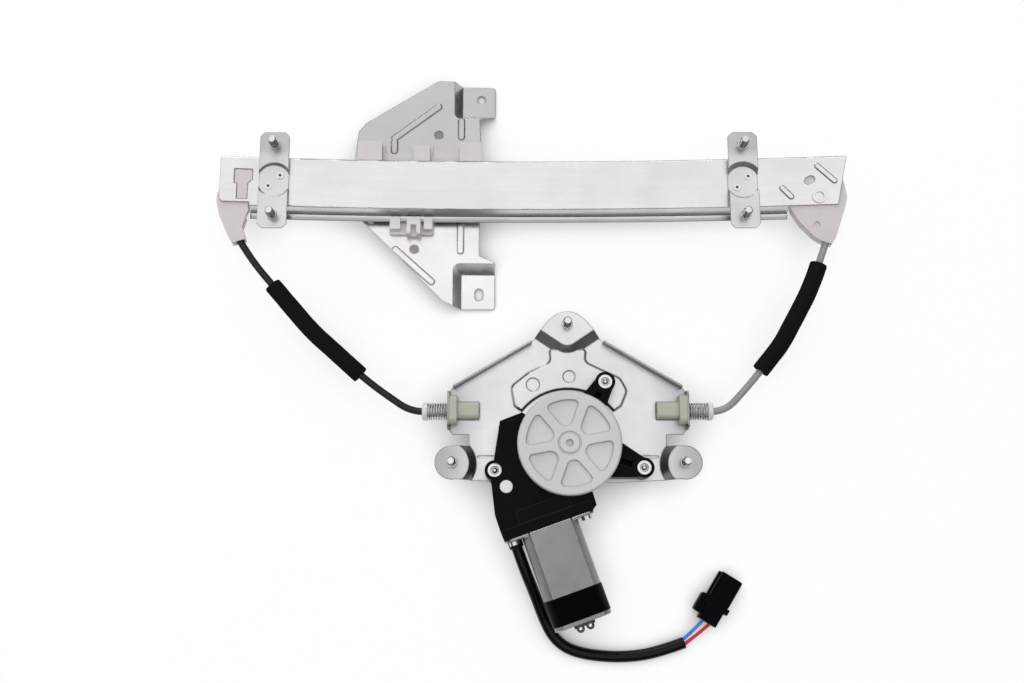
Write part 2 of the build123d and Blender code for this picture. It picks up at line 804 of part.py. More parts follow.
def make_rail_cable():
    """Cable along the rail and round both end guides."""
    section = Plane.YZ * Circle(cable_r)
    run = bowed(Pos(0, rail_y, cable_z) * section, guide_x[0], guide_x[1])
    out = run
    for side in (0, 1):
        heading = math.radians(exit_heading[side])
        leave = exit_point(side)
        centre_y = rail_y - turn_r
        sweep_angle = math.degrees(exit_angle(side)) - 90
        face = Plane.YZ * Circle(cable_r)
        turn = revolve(
            Pos(0, rail_y, cable_z) * face,
            axis=Axis((0, centre_y, 0), (0, 0, 1)),
            revolution_arc=sweep_angle,
        )
        tail_l = conduit_start[side]
        lie = Plane(
            origin=(leave[0], leave[1], cable_z),
            x_dir=(0, 0, 1),
            z_dir=(math.cos(heading), math.sin(heading), 0),
        )
        tail = lie * cyl(cable_r, 0, tail_l)
        out = out + on_bow(turn + tail, guide_x[side])
    return out


def drum_touch(side):
    """Point where a cable meets the drum, from the fitting's side."""
    sign = -1 if side == 0 else 1
    start = Vector(sign * (bush_inner - 1.0), fitting_y)
    reach = math.hypot(start.X, start.Y)
    bearing = math.atan2(start.Y, abs(start.X))
    opening = math.acos(drum_r / reach)
    angle = bearing + opening
    return Vector(sign * drum_r * math.cos(angle), drum_r * math.sin(angle))


def make_drum_cable(side):
    """Cable from the conduit's end through the fitting to the drum."""
    sign = -1 if side == 0 else 1
    bend = Vector(sign * bush_inner, fitting_y)
    touch = drum_touch(side)
    stop_r = drum_r + 2 * cable_r + winding_gap
    back = math.sqrt(stop_r ** 2 - drum_r ** 2)
    stop = touch + (bend - touch).normalized() * back
    points = [
        (axis_x + sign * conduit_tip_x, axis_y + fitting_y, cable_line_z),
        (axis_x + bend.X, axis_y + bend.Y, cable_line_z),
        (axis_x + stop.X, axis_y + stop.Y, drum_cable_z[side]),
    ]
    return tube(FilletPolyline(*points, radius=20.0), cable_r)


def make_windings():
    """Turns of both cables that lie in the drum's grooves."""
    turns = [
        Pos(axis_x, axis_y, groove_z + groove_pitch * k) * Torus(drum_r, cable_r)
        for k in range(groove_count)
    ]
    return Compound(children=turns)


# ---------------------------------------------------------------- conduit fittings
def to_side(shape, side):
    """Carry a fitting made for the right, round the drum's axis, to its side."""
    if side == 0:
        shape = shape.mirror(Plane.YZ)
    return Pos(axis_x, axis_y) * shape


def lying(radius, x_low, x_high):
    """Cylinder along a fitting's line."""
    spot = Pos((x_low + x_high) / 2, fitting_y, cable_line_z)
    return spot * Rot(0, 90, 0) * Cylinder(radius, x_high - x_low)


def make_bush(side):
    """Moulded bush in the plate: a flange inside the ear and a body through the slot."""
    y = fitting_y
    outer = ear_x - plate_t - fit_gap
    body = block(bush_inner, outer, y - bush_w / 2, y + bush_w / 2, bush_bottom, bush_top)
    body = fillet(body.edges().filter_by(Axis.X).sort_by(Axis.Z)[-2:], 3.0)
    flange = block(outer - flange_t, outer, y - flange_w / 2, y + flange_w / 2, plate_front, flange_top)
    flange = fillet(flange.edges().filter_by(Axis.X).sort_by(Axis.Z)[-2:], 4.0)
    bush = body + flange + lying(bush_nose_r, outer, ear_x)
    bush = bush - lying(sleeve_r + fit_gap, bush_inner + bush_stop, ear_x + 1)
    bush = bush - lying(cable_r + cable_gap, bush_inner - 2, bush_inner + bush_stop + 2)
    return to_side(bush, side)


def make_sleeve(side):
    """Sleeve on the conduit's end: it slides in the bush and its collar takes the spring."""
    inner = bush_inner + bush_stop + 0.5
    collar = lying(spring_r, sleeve_end - collar_l, sleeve_end)
    collar = chamfer(collar.edges().sort_by(Axis.X)[-1], 0.8)
    sleeve = lying(sleeve_r, inner, sleeve_end) + collar
    sleeve = sleeve - lying(conduit_r, conduit_tip_x, sleeve_end + 1)
    sleeve = sleeve - lying(cable_r + cable_gap, inner - 1, conduit_tip_x + 1)
    return to_side(sleeve, side)


def make_spring(side):
    """Tensioner spring between the ear and the sleeve's collar."""
    height = spring_l - 2 * spring_wire - 0.1
    helix = Helix(
        pitch=height / spring_turns,
        height=height,
        radius=spring_r - spring_wire - 0.1,
        center=(ear_x + spring_wire + 0.05, fitting_y, cable_line_z),
        direction=(1, 0, 0),
    )
    start = Plane(origin=helix @ 0, z_dir=helix % 0)
    wire = RegularPolygon(spring_wire, 6)
    return to_side(sweep(start * wire, path=helix, is_frenet=True), side)


# ---------------------------------------------------------------- motor plate
def plate_outline():
    """Outline of the motor plate round the drum's axis, the same on both sides."""
    x_lobe, y_lobe = lobe_stud
    right = [
        (12.4, 86.8), *edge_line, (ear_x - plate_t, 38.2), (ear_x - plate_t, 11.0),
        (ear_x - 3.2, 8.6), (66.4, 8.6), (66.4, 0.8), (x_lobe + 1.2, 0.6), (x_lobe + 0.7, -21.6),
        (34.0, -23.4),
    ]
    left = [(-x, y) for x, y in reversed(right)]
    face = rounded([(0, 96.9), *right, *left], [15.0] + corner_sizes(right) + corner_sizes(left))
    for sign in (-1, 1):
        face = face + Pos(sign * x_lobe, y_lobe) * Circle(lobe_r)
    return face


def corner_sizes(points):
    """Corner radii of the plate's outline: small, so that short edges keep a straight."""
    return [1.0 if 60 < abs(x) < 85 else 3.0 for x, y in points]


def make_motor_plate():
    """Stamped plate with raised lobes for the studs, a raised pad, flanges and ears."""
    outline = plate_outline()
    z_back = plate_back
    column = prism(outline, 0, 60)
    sheet = prism(outline, z_back, plate_front)
    x_lobe, y_lobe = lobe_stud
    for sign in (-1, 1):
        spot = Pos(sign * (x_lobe + 2.5), y_lobe - 0.6)
        sheet = pressed(sheet, column, spot * Circle(19.0), z_back, plate_t, lobe_rise, 40)
    tab = rounded([(-36, 84), (0, 59.5), (36, 84), (36, 120), (-36, 120)], [6.0, 14.0, 6.0, 6.0, 6.0])
    sheet = pressed(sheet, column, tab, z_back, plate_t, lobe_rise, 48)
    sheet = pressed(sheet, column, raised_pad(), z_back, plate_t, pad_rise, 40)
    for x, y, r in ((-23.4, 42.6, 4.6), (1.1, 48.1, 4.2)):
        sheet = sheet - cyl(r, plate_front + pad_rise - 1.0, 40, x, y)
    for sign in (-1, 1):
        sheet = sheet + edge_flange(sign)
        sheet = sheet + ear(sign)
        sheet = sheet - fitting_slot(sign)
        sheet = sheet - cyl(stud_neck_r, 0, 60, sign * x_lobe, y_lobe)
        groove = slot_between((sign * 50, -6.4), (sign * 60, -6.4), 1.6)
        sheet = sheet - prism(groove, plate_front - 0.5, plate_front + 1)
    sheet = sheet - cyl(stud_neck_r, 0, 60, 0, top_stud_y)
    sheet = sheet - cyl(12.0, 0, 60)
    for x, y in boss_spots:
        sheet = sheet - cyl(screw_r + 0.4, 0, 60, x, y)
    return Pos(axis_x, axis_y) * sheet


def raised_pad():
    """Winged pad between the top tab and the gear housing."""
    points = [
        (-12.8, 67.5), (-12.0, 58.5), (-26.5, 51.5), (-39.0, 41.5), (-36.5, 27.5), (-28.0, 22.0),
        (28.0, 22.0), (36.5, 27.5), (41.0, 38.4), (36.0, 47.5), (22.2, 54.0), (12.6, 58.6),
        (13.4, 67.5),
    ]
    radii = [2.5, 4.0, 5.0, 6.0, 4.0, 2.5, 2.5, 4.0, 6.0, 5.0, 5.0, 4.0, 2.5]
    return rounded(points, radii) - Circle(39.0)


def edge_flange(sign):
    """Stiffening flange turned up along a slanted edge."""
    (x0, y0), (x1, y1) = edge_line
    half = math.hypot(x1 - x0, y1 - y0) / 2 - 1.0
    angle = math.degrees(math.atan2(y1 - y0, x1 - x0))
    lie = Pos((x0 + x1) / 2, (y0 + y1) / 2) * Rot(0, 0, angle) * Pos(0, -plate_t / 2, 0)
    wall = block(-half, half, -plate_t / 2, plate_t / 2, plate_back + 0.5, plate_front + edge_rise)
    wall = chamfer(wall.edges().group_by(Axis.Z)[-1].filter_by(Axis.X), 0.4)
    wall = lie * wall
    return wall if sign > 0 else wall.mirror(Plane.YZ)


def ear(sign):
    """Upright ear that carries a conduit fitting, rounded at the top."""
    height = ear_rise + plate_t
    half = ear_w / 2
    face = Pos(fitting_y, plate_back + height / 2) * RectangleRounded(ear_w, height, 4.5)
    wall = extrude(Plane.YZ.offset(ear_x - plate_t) * face, plate_t)
    foot = block(ear_x - plate_t, ear_x, fitting_y - half, fitting_y + half, plate_back, plate_front + 2)
    wall = wall + foot
    return wall if sign > 0 else wall.mirror(Plane.YZ)


def fitting_slot(sign):
    """Slot for the bush's body and the opening for the sleeve in plate and ear."""
    half = bush_w / 2 + 0.2
    room = bush_nose_r + 0.2
    slot = block(bush_inner - 0.3, ear_x - plate_t, fitting_y - half, fitting_y + half, 0, plate_front)
    opening = block(ear_x - 3, ear_x + 1, fitting_y - room, fitting_y + room, 0, cable_line_z)
    cut = slot + opening + lying(room, ear_x - 3, ear_x + 1)
    return cut if sign > 0 else cut.mirror(Plane.YZ)


def make_plate_studs():
    """The three studs of the motor plate."""
    z = plate_front + lobe_rise
    spots = [(-lobe_stud[0], lobe_stud[1]), lobe_stud, (0, top_stud_y)]
    return Compound(children=[at_axis(x, y, z) * headed_stud(plate_t) for x, y in spots])


# ---------------------------------------------------------------- gear housing
def housing_outline():
    """Outline of the housing's worm and motor side, round the wheel's axis."""
    points = [
        (-31.0, 20.8), (-45.6, 15.1), (-49.1, -8.1), (-51.4, -23.2), (-48.7, -46.0),
        (-45.4, -55.7), (-42.2, -63.6), (14.3, -43.5), (17.2, -39.5), (13.5, -27.0), (0.0, 0.0),
    ]
    return make_face(Polyline(*points, close=True))


def boss_arm(x, y, width_in, width_out, z_low, z_high):
    """Arm from the wheel's axis to a boss, narrowing outwards."""
    reach = math.hypot(x, y)
    angle = math.degrees(math.atan2(y, x))
    points = [(10, width_in), (reach, width_out), (reach, -width_out), (10, -width_in)]
    arm = prism(make_face(Polyline(*points, close=True)), z_low, z_high)
    return Rot(0, 0, angle) * arm


def make_gear_housing():
    """Moulded housing: wheel cup, worm tunnel, brush chamber and three boss arms."""
    low = plate_front
    body = cyl(cup_r, low, cup_top)
    body = body + prism(housing_outline(), low, housing_top)
    for spot, inner_w, lift in zip(boss_spots, (13.0, 19.0, 12.0), boss_lift):
        body = body + boss_arm(*spot, inner_w, boss_r - 0.4, low + lift, boss_top - 3.5)
        body = body + cyl(boss_r, low + lift, boss_top - 0.4, *spot)
    to_motor = motor_from_axis
    body = body + to_motor * cyl(tunnel_r, tunnel_top, motor_face)
    body = body + brush_chamber(chamber_wall) - cyl(cover_r + 0.15, cup_top - 3.1, 60)
    body = body + cyl(cup_r, low, cup_top)
    brim = to_motor * block(-flange_half_w, flange_half_w, -11.0, flange_half_t, motor_face - 7, motor_face)
    body = body + brim
    body = body - cyl(cup_r - cup_wall, low + 2.5, cup_top + 1)
    body = body - cyl(shaft_r + fit_gap, 0, 60)
    body = body - to_motor * cyl(worm_bore_r, tunnel_top + 3, motor_face + 1)
    body = body - to_motor * cyl(shaft_pin + fit_gap, tunnel_top + 1, tunnel_top + 5)
    body = body - brush_chamber(0)
    for x, y in boss_spots:
        body = body - cyl(sleeve_ring_r, low - 1, 60, x, y)
        slot = Rot(0, 0, math.degrees(math.atan2(y, x)))
        reach = math.hypot(x, y)
        if x > 0:
            body = body - slot * block(cup_r + 1.5, reach - boss_r - 1.0, -2.2, 2.2, low + 3, 60)
    body = body - cyl(plug_r + fit_gap, housing_top - 3.0, 60, *plug_spot)
    for sign in (-1, 1):
        body = body - to_motor * cyl(1.6, motor_face - 8, motor_face + 1, sign * motor_screw, 0)
    body = body - to_motor * cyl(grommet_r + 0.1, motor_face - 8, motor_face + 1, *grommet_spot)
    body = body - block(-60, 60, -70, 60, low - 20, low)
    body = body - to_motor * block(-60, 60, -40, 40, motor_face, motor_face + 20)
    return Pos(axis_x, axis_y) * body


def brush_chamber(wall):
    """Room for the brush card, or the walls round it where wall is positive."""
    w, h = chamber_half_w + wall, chamber_half_h + wall
    end = motor_face if wall else motor_face + 1
    return motor_from_axis * block(-w, w, -h, h, chamber_start - wall / 2, end)


def cover_window():
    """One window of the cover: a triangle with round corners between two spokes."""
    tip = spoke_w / 2 / math.sin(math.radians(30))
    reach = 40.0
    spread = (reach - tip) * math.tan(math.radians(30))
    wedge = make_face(Polyline((tip, 0), (reach, spread), (reach, -spread), close=True))
    shape = wedge & Circle(window_r)
    corners = shape.vertices().sort_by(Axis.X)
    shape = fillet(corners[0], 5.0)
    return fillet(shape.vertices().sort_by(Axis.X)[-2:], 2.6)


def make_gear_cover():
    """Round pressed cover over the wheel, with six windows sunk between spokes."""
    low = cup_top
    cover = cyl(cover_r, low, low + cover_t)
    cover = fillet(cover.edges().sort_by(Axis.Z)[-1], 1.4)
    cover = cover + ring(cover_r, cup_r + 0.1, low - 3.0, low)
    for k in range(6):
        window = Rot(0, 0, 40 + 60 * k) * cover_window()
        cover = cover - prism(window, low + cover_t - cover_drop, low + 20)
    cover = cover - ring(7.6, 6.6, low + cover_t - 0.5, low + 20)
    cover = cover - cyl(2.3, low + 0.8, low + 20)
    cover = cover - motor_from_axis * cyl(tunnel_r + 0.3, tunnel_top - 1, motor_face)
    return Pos(axis_x, axis_y) * cover


def make_boss_sleeves():
    """Steel sleeves through the three bosses."""
    sleeves = [
        ring(sleeve_ring_r, screw_r + 0.3, plate_front + lift, boss_top, axis_x + x, axis_y + y)
        for (x, y), lift in zip(boss_spots, boss_lift)
    ]
    return Compound(children=sleeves)


def make_housing_screws():
    """Screws through the drum housing's arms, the plate and the sleeves."""
    screws = []
    for x, y in boss_spots:
        shank = cyl(screw_r, pot_arm_t, boss_top - 0.8, x, y)
        tip = Pos(x, y, boss_top - 0.8) * Sphere(screw_r * 0.8)
        head = cyl(4.4, pot_arm_t - 2.6, pot_arm_t, x, y)
        socket = cyl(1.9, pot_arm_t - 3, pot_arm_t - 1.2, x, y)
        screws.append(Pos(axis_x, axis_y) * (shank + tip + head - socket))
    return Compound(children=screws)


def make_housing_plug():
    """Plain round plug pressed in the housing beside the left boss."""
    x, y = plug_spot
    plug = cyl(plug_r, housing_top - 3.0, housing_top + 0.8, x, y)
    plug = fillet(plug.edges().sort_by(Axis.Z)[-1], 0.8)
    return Pos(axis_x, axis_y) * plug


# ---------------------------------------------------------------- wheel, shaft and drum
def make_worm_wheel():
    """Worm wheel with spur-cut teeth, a web with round openings and a hub."""
    root = wheel_r - tooth_h / 2
    tip = wheel_r + tooth_h / 2
    z_low = motor_z - wheel_t / 2
    z_high = motor_z + wheel_t / 2
    pitch = 2 * math.pi / teeth
    half = pitch * wheel_r / 4 - tooth_gap / 2
    first = math.radians(motor_tilt) + math.pi
    points = []
    for k in range(teeth):
        angle = first + k * pitch
        for radius, share in ((root, -1.35), (tip, -0.62), (tip, 0.62), (root, 1.35)):
            turn = angle + share * half / wheel_r
            points.append((radius * math.cos(turn), radius * math.sin(turn)))
    wheel = prism(make_face(Polyline(*points, close=True)), z_low, z_high)
    wheel = wheel - ring(root - 3.0, 9.5, motor_z + 1.5, z_high + 1)
    wheel = wheel - ring(root - 3.0, 9.5, z_low - 1, motor_z - 1.5)
    for k in range(3):
        spot = Rot(0, 0, 120 * k) * Pos(15.6, 0)
        wheel = wheel - spot * cyl(4.0, 0, 60)
    wheel = wheel - cyl(shaft_r, 0, 60)
    return Pos(axis_x, axis_y) * wheel


def shaft_flats():
    """Room beside the two flats of the shaft."""
    return block(-20, -flat_half, -20, 20, 0, drum_top) + block(flat_half, 20, -20, 20, 0, drum_top)


def make_output_shaft():
    """Shaft that joins the wheel to the drum, with a pilot at each end."""
    shaft = cyl(shaft_r, drum_bottom + 1.0, cup_top - 0.4) - shaft_flats()
    shaft = shaft + cyl(shaft_tip_r, 0.8, drum_bottom + 1.5)
    return Pos(axis_x, axis_y) * shaft


def make_drum():
    """Cable drum with a groove for each winding and a flange at each end."""
    rim = drum_r + groove_over
    floor = drum_r - cable_r
    wide, narrow = cable_r + 0.3, 0.6 * cable_r
    outline = [(0, drum_bottom), (drum_flange_r, drum_bottom), (drum_flange_r, drum_bottom + 1.1)]
    outline.append((rim, drum_bottom + 1.4))
    for k in range(groove_count):
        z = groove_z + groove_pitch * k
        outline += [(rim, z - wide), (floor, z - narrow), (floor, z + narrow), (rim, z + wide)]
    outline += [(rim, drum_top - 1.4), (drum_flange_r, drum_top - 1.1), (drum_flange_r, drum_top)]
    outline.append((0, drum_top))
    drum = revolve(Plane.XZ * make_face(Polyline(*outline, close=True)), axis=Axis.Z)
    drum = drum - (cyl(shaft_r, 0, 60) - shaft_flats())
    drum = drum - ring(16.0, 9.0, drum_bottom - 1, drum_top - 3.0)
    return Pos(axis_x, axis_y) * drum


def make_drum_housing():
    """Moulded pot behind the plate: it covers the drum and carries the screws."""
    pot = cyl(pot_r, 0, plate_back)
    pot = fillet(pot.edges().sort_by(Axis.Z)[0], 1.5)
    for (x, y), lift in zip(boss_spots, boss_lift):
        pot = pot + boss_arm(x, y, 9.0, 5.5, 0.8, pot_arm_t)
        pot = pot + boss_arm(x, y, 1.2, 1.2, 0.8, 9.0)
        pot = pot + cyl(6.2, 0.8, 12.0, x, y)
        pot = pot + cyl(4.2, 0.8, plate_back + lift, x, y)
    pot = pot - cyl(pot_r - pot_wall, pot_floor, 60)
    pot = pot + cyl(6.0, 0.4, pot_floor + 2.4)
    pot = pot - cyl(shaft_tip_r + fit_gap, 0.6, 60)
    for x, y in boss_spots:
        pot = pot - cyl(screw_r + fit_gap, -1, 60, x, y)
        pot = pot - cyl(4.6, -1, pot_arm_t, x, y)
    for side in (0, 1):
        pot = pot - cable_gate(side)
    return Pos(axis_x, axis_y) * pot


def cable_gate(side):
    """Opening in the pot's wall for a cable."""
    sign = -1 if side == 0 else 1
    low = drum_cable_z[side] - 2.2
    x_low, x_high = sorted((sign * 8.0, sign * 34.0))
    return block(x_low, x_high, 15.5, 30.0, low, plate_back + 1)


# ---------------------------------------------------------------- motor
def can_section(inset):
    """Round section with flats at the front and the back."""
    round_part = Circle(can_r - inset)
    return round_part & Rectangle(4 * can_r, 2 * (can_half_t - inset))


def along(face, s_low, s_high):
    """Prism along the motor's axis."""
    return motor_plane * prism(face, s_low, s_high)


def make_motor_can():
    """Drawn steel can with its flange and the bearing seat in its closed end."""
    can = along(can_section(0), motor_face, can_end)
    brim = Pos(0, 0.5) * RectangleRounded(2 * flange_half_w, 2 * flange_half_t - 1, 4.0)
    can = can + along(brim, motor_face, motor_face + can_wall)
    can = can - along(can_section(can_wall), motor_face - 1, can_end - can_wall)
    seat = along(Circle(6.4), can_end - 4.0, can_end)
    can = can + seat - along(Circle(shaft_pin + fit_gap), can_end - 5.0, can_end - 1.0)
    for sign in (-1, 1):
        can = can - along(Pos(sign * motor_screw, 0) * Circle(2.1), motor_face - 1, motor_face + 3)
    can = can - along(Pos(*grommet_spot) * Circle(5.2), motor_face - 1, motor_face + 3)
    return can


def make_motor_band():
    """Black sleeve round the closed end of the can."""
    return along(can_section(-band_t) - can_section(0), band_start, band_end)


def make_end_lug():
    """Small moulded rest on the end of the can, with two eyes."""
    lug = along(Pos(0.5, -1.0) * RectangleRounded(14.0, 6.0, 2.0), can_end, can_end + 2.4)
    for x in eye_spots:
        lug = lug + motor_plane * block(x - eye_r, x + eye_r, -3.0, 1.0, can_end, can_end + eye_out)
        lug = lug + eye_round(x, eye_r, 4.0)
    for x in eye_spots:
        lug = lug - eye_round(x, eye_bore, 9.0)
    return lug


def eye_round(x, radius, length):
    """Upright cylinder in the place of an eye."""
    return motor_plane * (Pos(x, -1.0, can_end + eye_out) * Rot(90, 0, 0) * Cylinder(radius, length))


def make_motor_screws():
    """Two screws that hold the can to the housing."""
    screws = []
    for sign in (-1, 1):
        spot = Pos(sign * motor_screw, 0)
        shank = along(spot * Circle(1.6), motor_face - 7.5, motor_face + 1.4)
        head = along(spot * Circle(3.4), motor_face + 1.4, motor_face + 4.0)
        cross = along(spot * (Rectangle(4.0, 0.9) + Rectangle(0.9, 4.0)), motor_face + 2.9, motor_face + 5)
        screws.append(shank + head - cross)
    return Compound(children=screws)


def make_armature():
    """Armature: shaft with the worm, commutator, laminations and windings."""
    shaft = along(Circle(shaft_pin), tunnel_top + 1.5, can_end - 1.3)
    core = along(Circle(worm_core - 0.02), -worm_l / 2 - 5, 28)
    commutator = along(Circle(7.0), 34, 46) - along(Circle(8) - Circle(6.4), 34, 35)
    stack = along(Circle(11.4), 57, 90)
    for k in range(8):
        slot = Rot(0, 0, 45 * k) * Pos(10.2, 0) * Rectangle(3.0, 1.6)
        stack = stack - along(slot, 56, 91)
    ends = along(Circle(9.6), 50, 96)
    return shaft + core + commutator + stack + ends + worm_thread()


def worm_thread():
    """Helical thread of the worm, one turn for each tooth of the wheel."""
    pitch = 2 * math.pi * wheel_r / teeth
    height = worm_offset - wheel_r + tooth_h / 2 - worm_core - 0.35
    half_root = pitch / 4 + 0.10
    half_tip = pitch / 4 - 0.36
    turns = 7
    length = pitch * turns
    core = worm_core - 0.12
    path = Helix(pitch=pitch, height=length, radius=core, center=(0, 0, -length / 2), direction=(0, 0, 1))
    face = Plane(origin=path @ 0, x_dir=(1, 0, 0), z_dir=(0, -1, 0))
    profile = make_face(
        Polyline(
            (0, -half_root), (height, -half_tip), (height, half_tip), (0, half_root), close=True
        )
    )
    thread = sweep(face * profile, path=path, is_frenet=True)
    return motor_plane * thread


def make_magnets():
    """Two curved magnets inside the can."""
    magnets = []
    for turn in (0, 180):
        wedge = make_face(Polyline((0, 0), (30, 25.2), (30, -25.2), close=True))
        face = Rot(0, 0, turn) * ((Circle(can_r - can_wall - 0.1) - Circle(12.4)) & wedge)
        magnets.append(along(face, 55, 94))
    return Compound(children=magnets)


def make_brush_holder():
    """Brush card that closes the can's open end, with two brush tubes."""
    card = along(Rectangle(31.0, 18.4), 31.2, 33.2) - along(Circle(8.6), 27, 46)
    for sign in (-1, 1):
        x_low, x_high = sorted((sign * 9.0, sign * 15.2))
        guide = motor_plane * block(x_low, x_high, -3.4, 3.4, 33.0, 44.0)
        pocket = motor_plane * block(x_low - 1, x_high + 1, -2.1, 2.1, 35.0, 42.0)
        card = card + guide - pocket
    return card


def make_brushes():
    """Two carbon brushes, seated on the commutator with a running gap."""
    brushes = []
    for sign in (-1, 1):
        x_low, x_high = sorted((sign * 7.3, sign * 13.6))
        brushes.append(motor_plane * block(x_low, x_high, -2.0, 2.0, 35.1, 41.9))
    return Compound(children=brushes)


def make_grommet():
    """Rubber grommet where the wiring leaves the housing."""
    stem = along(Pos(*grommet_spot) * Circle(4.5), motor_face - 7.9, motor_face)
    lip = along(Pos(*grommet_spot) * Circle(4.9), motor_face, motor_face + grommet_out)
    lip = chamfer(lip.edges().filter_by(GeomType.CIRCLE).sort_by(Axis.Y)[0], 0.8)
    return stem + lip


# ---------------------------------------------------------------- wiring
def motor_point(across, height, s):
    """Point given by its place beside, above and along the motor's axis."""
    return worm_spot + across_dir * across + motor_dir * s + Vector(0, 0, height)


def sheath_points():
    """Route of the sheath from the grommet to its open end."""
    start = motor_point(grommet_spot[0], grommet_spot[1], motor_face + grommet_out)
    return [
        start, start + motor_dir * 14.5, Vector(0.9, -172.1, 15.2), Vector(4.9, -186.7, 8.6),
        Vector(11.3, -197.6, 5.4), Vector(22.4, -204.7, 4.1), Vector(38.1, -208.6, 3.95),
        Vector(60.0, -210.2, 4.05), Vector(82.0, -207.4, 3.95), Vector(100.6, -200.7, 4.1),
    ]


def plug_frame():
    """Frame of the connector: x along its mating direction, origin at the wires' entry."""
    heading = math.radians(plug_heading)
    return Plane(
        origin=(plug_spot_xy[0], plug_spot_xy[1], plug_z),
        x_dir=(math.cos(heading), math.sin(heading), 0),
        z_dir=(0, 0, 1),
    )


def wire_points(sign):
    """Route of a wire from the sheath's end to the connector; sign 1 is the left one."""
    heading = math.radians(plug_heading)
    sheath = sheath_points()
    run = (sheath[-1] - sheath[-2]).normalized()
    side = Vector(-run.Y, run.X, 0).normalized()
    begin = sheath[-1] + side * (sign * 1.7)
    left = Vector(-math.sin(heading), math.cos(heading), 0)
    end = Vector(plug_spot_xy[0], plug_spot_xy[1], plug_z) + left * (sign * plug_pitch / 2)
    ahead = Vector(math.cos(heading), math.sin(heading), 0)
    before = end - ahead * 5.8
    middle = begin + run * (wire_first_run - sign * 1.2)
    return [begin, middle, before, end]


def make_sheath():
    """Sheath round the two wires."""
    return tube(tube_path(sheath_points()), sheath_r)


def make_wire(sign):
    """One wire; sign 1 is the left one."""
    return tube(tube_path(wire_points(sign)), wire_r)


def make_plug():
    """Two-way connector: a hood round the pins, a rear block, a key rib and a side clip."""
    w, h = hood_w / 2, hood_h / 2
    rear = block(0, 15.5, -6.6, 6.6, -5.4, 5.4)
    rear = fillet(rear.edges().filter_by(Axis.X), 1.5)
    hood = block(14.0, 14.0 + hood_l, -w, w, -h, h)
    hood = fillet(hood.edges().filter_by(Axis.X), 2.6)
    lobes = block(16.0, 14.0 + hood_l, -w - 1.1, w + 1.1, -h + 1.0, -h + 4.6)
    rib = block(15.0, 13.0 + hood_l, -1.2, 1.2, h - 0.5, h + 1.4)
    clip = block(3.0, 16.0, w - 1.5, w + 4.6, -4.0, 3.4)
    clip = fillet(clip.edges().filter_by(Axis.Z), 1.4)
    ledge = block(10.5, 14.2, -w - 1.4, w + 1.4, -5.8, 5.8)
    plug = rear + hood + lobes + rib + clip + ledge
    room = block(18.0, 40.0, -w + hood_wall, w - hood_wall, -h + hood_wall, h - hood_wall)
    room = fillet(room.edges().filter_by(Axis.X), 1.6)
    side_room = block(20.0, 40.0, -w, w, -h + 2.0, -h + 3.8)
    plug = plug - room - side_room
    for sign in (-1, 1):
        plug = plug - pin(sign, -1, 30)
    return plug_frame() * plug


def pin(sign, x_low, x_high):
    """Flat bar in the place of a contact pin."""
    middle = sign * plug_pitch / 2
    return block(x_low, x_high, middle - 0.8, middle + 0.8, -0.4, 0.4)


def make_plug_pins():
    """Two flat contact pins."""
    return Compound(children=[plug_frame() * pin(sign, 4.0, 28.0) for sign in (-1, 1)])


# ---------------------------------------------------------------- assembly
def carrier_to_rest(shape):
    """The carrier's parts are made level and rest part of the way along the bow."""
    return on_bow(shape, carrier_x)


def main():
    """Write every sub-part."""
    os.makedirs("parts", exist_ok=True)
    save("rail", make_rail())
    save("left_strap", make_strap(strap_x[0]))
    save("right_strap", make_strap(strap_x[1]))
    save("strap_studs", make_strap_studs())
    save("strap_rivets", make_clinches())
    save("guide_rivet", make_guide_rivet())
    for side, name in enumerate(("left", "right")):
        save(f"{name}_cable_guide", make_guide(side))
        save(f"{name}_ferrule", make_ferrule(side))
        save(f"{name}_conduit", make_conduit(side))
        save(f"{name}_conduit_cable", make_conduit_cable(side))
        save(f"{name}_foam_sleeve", make_foam(side))
        save(f"{name}_drum_cable", make_drum_cable(side))
        save(f"{name}_plate_bush", make_bush(side))
        save(f"{name}_tension_sleeve", make_sleeve(side))
        save(f"{name}_tension_spring", make_spring(side))
    save("rail_cable", make_rail_cable())
    save("carrier_plate", carrier_to_rest(make_carrier_plate()))
    save("upper_slider", carrier_to_rest(make_upper_slider()))
    save("lower_slider", carrier_to_rest(make_lower_slider()))
    save("cable_holder", carrier_to_rest(make_cable_holder()))
    save("cable_nipples", carrier_to_rest(make_nipples()))
    save("motor_plate", make_motor_plate())
    save("plate_studs", make_plate_studs())
    save("gear_housing", make_gear_housing())
    save("gear_cover", make_gear_cover())
    save("boss_sleeves", make_boss_sleeves())
    save("housing_screws", make_housing_screws())
    save("housing_plug", make_housing_plug())
    save("worm_wheel", make_worm_wheel())
    save("output_shaft", make_output_shaft())
    save("cable_drum", make_drum())
    save("drum_windings", make_windings())
    save("drum_housing", make_drum_housing())
    save("motor_can", make_motor_can())
    save("motor_band", make_motor_band())
    save("motor_end_rest", make_end_lug())
    save("motor_screws", make_motor_screws())
    save("armature", make_armature())
    save("motor_magnets", make_magnets())
    save("brush_holder", make_brush_holder())
    save("brushes", make_brushes())
    save("harness_grommet", make_grommet())
    save("harness_sheath", make_sheath())
    save("blue_wire", make_wire(1))
    save("red_wire", make_wire(-1))
    save("connector_housing", make_plug())
    save("connector_pins", make_plug_pins())


main()
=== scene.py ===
import math

import bpy
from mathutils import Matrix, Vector, noise


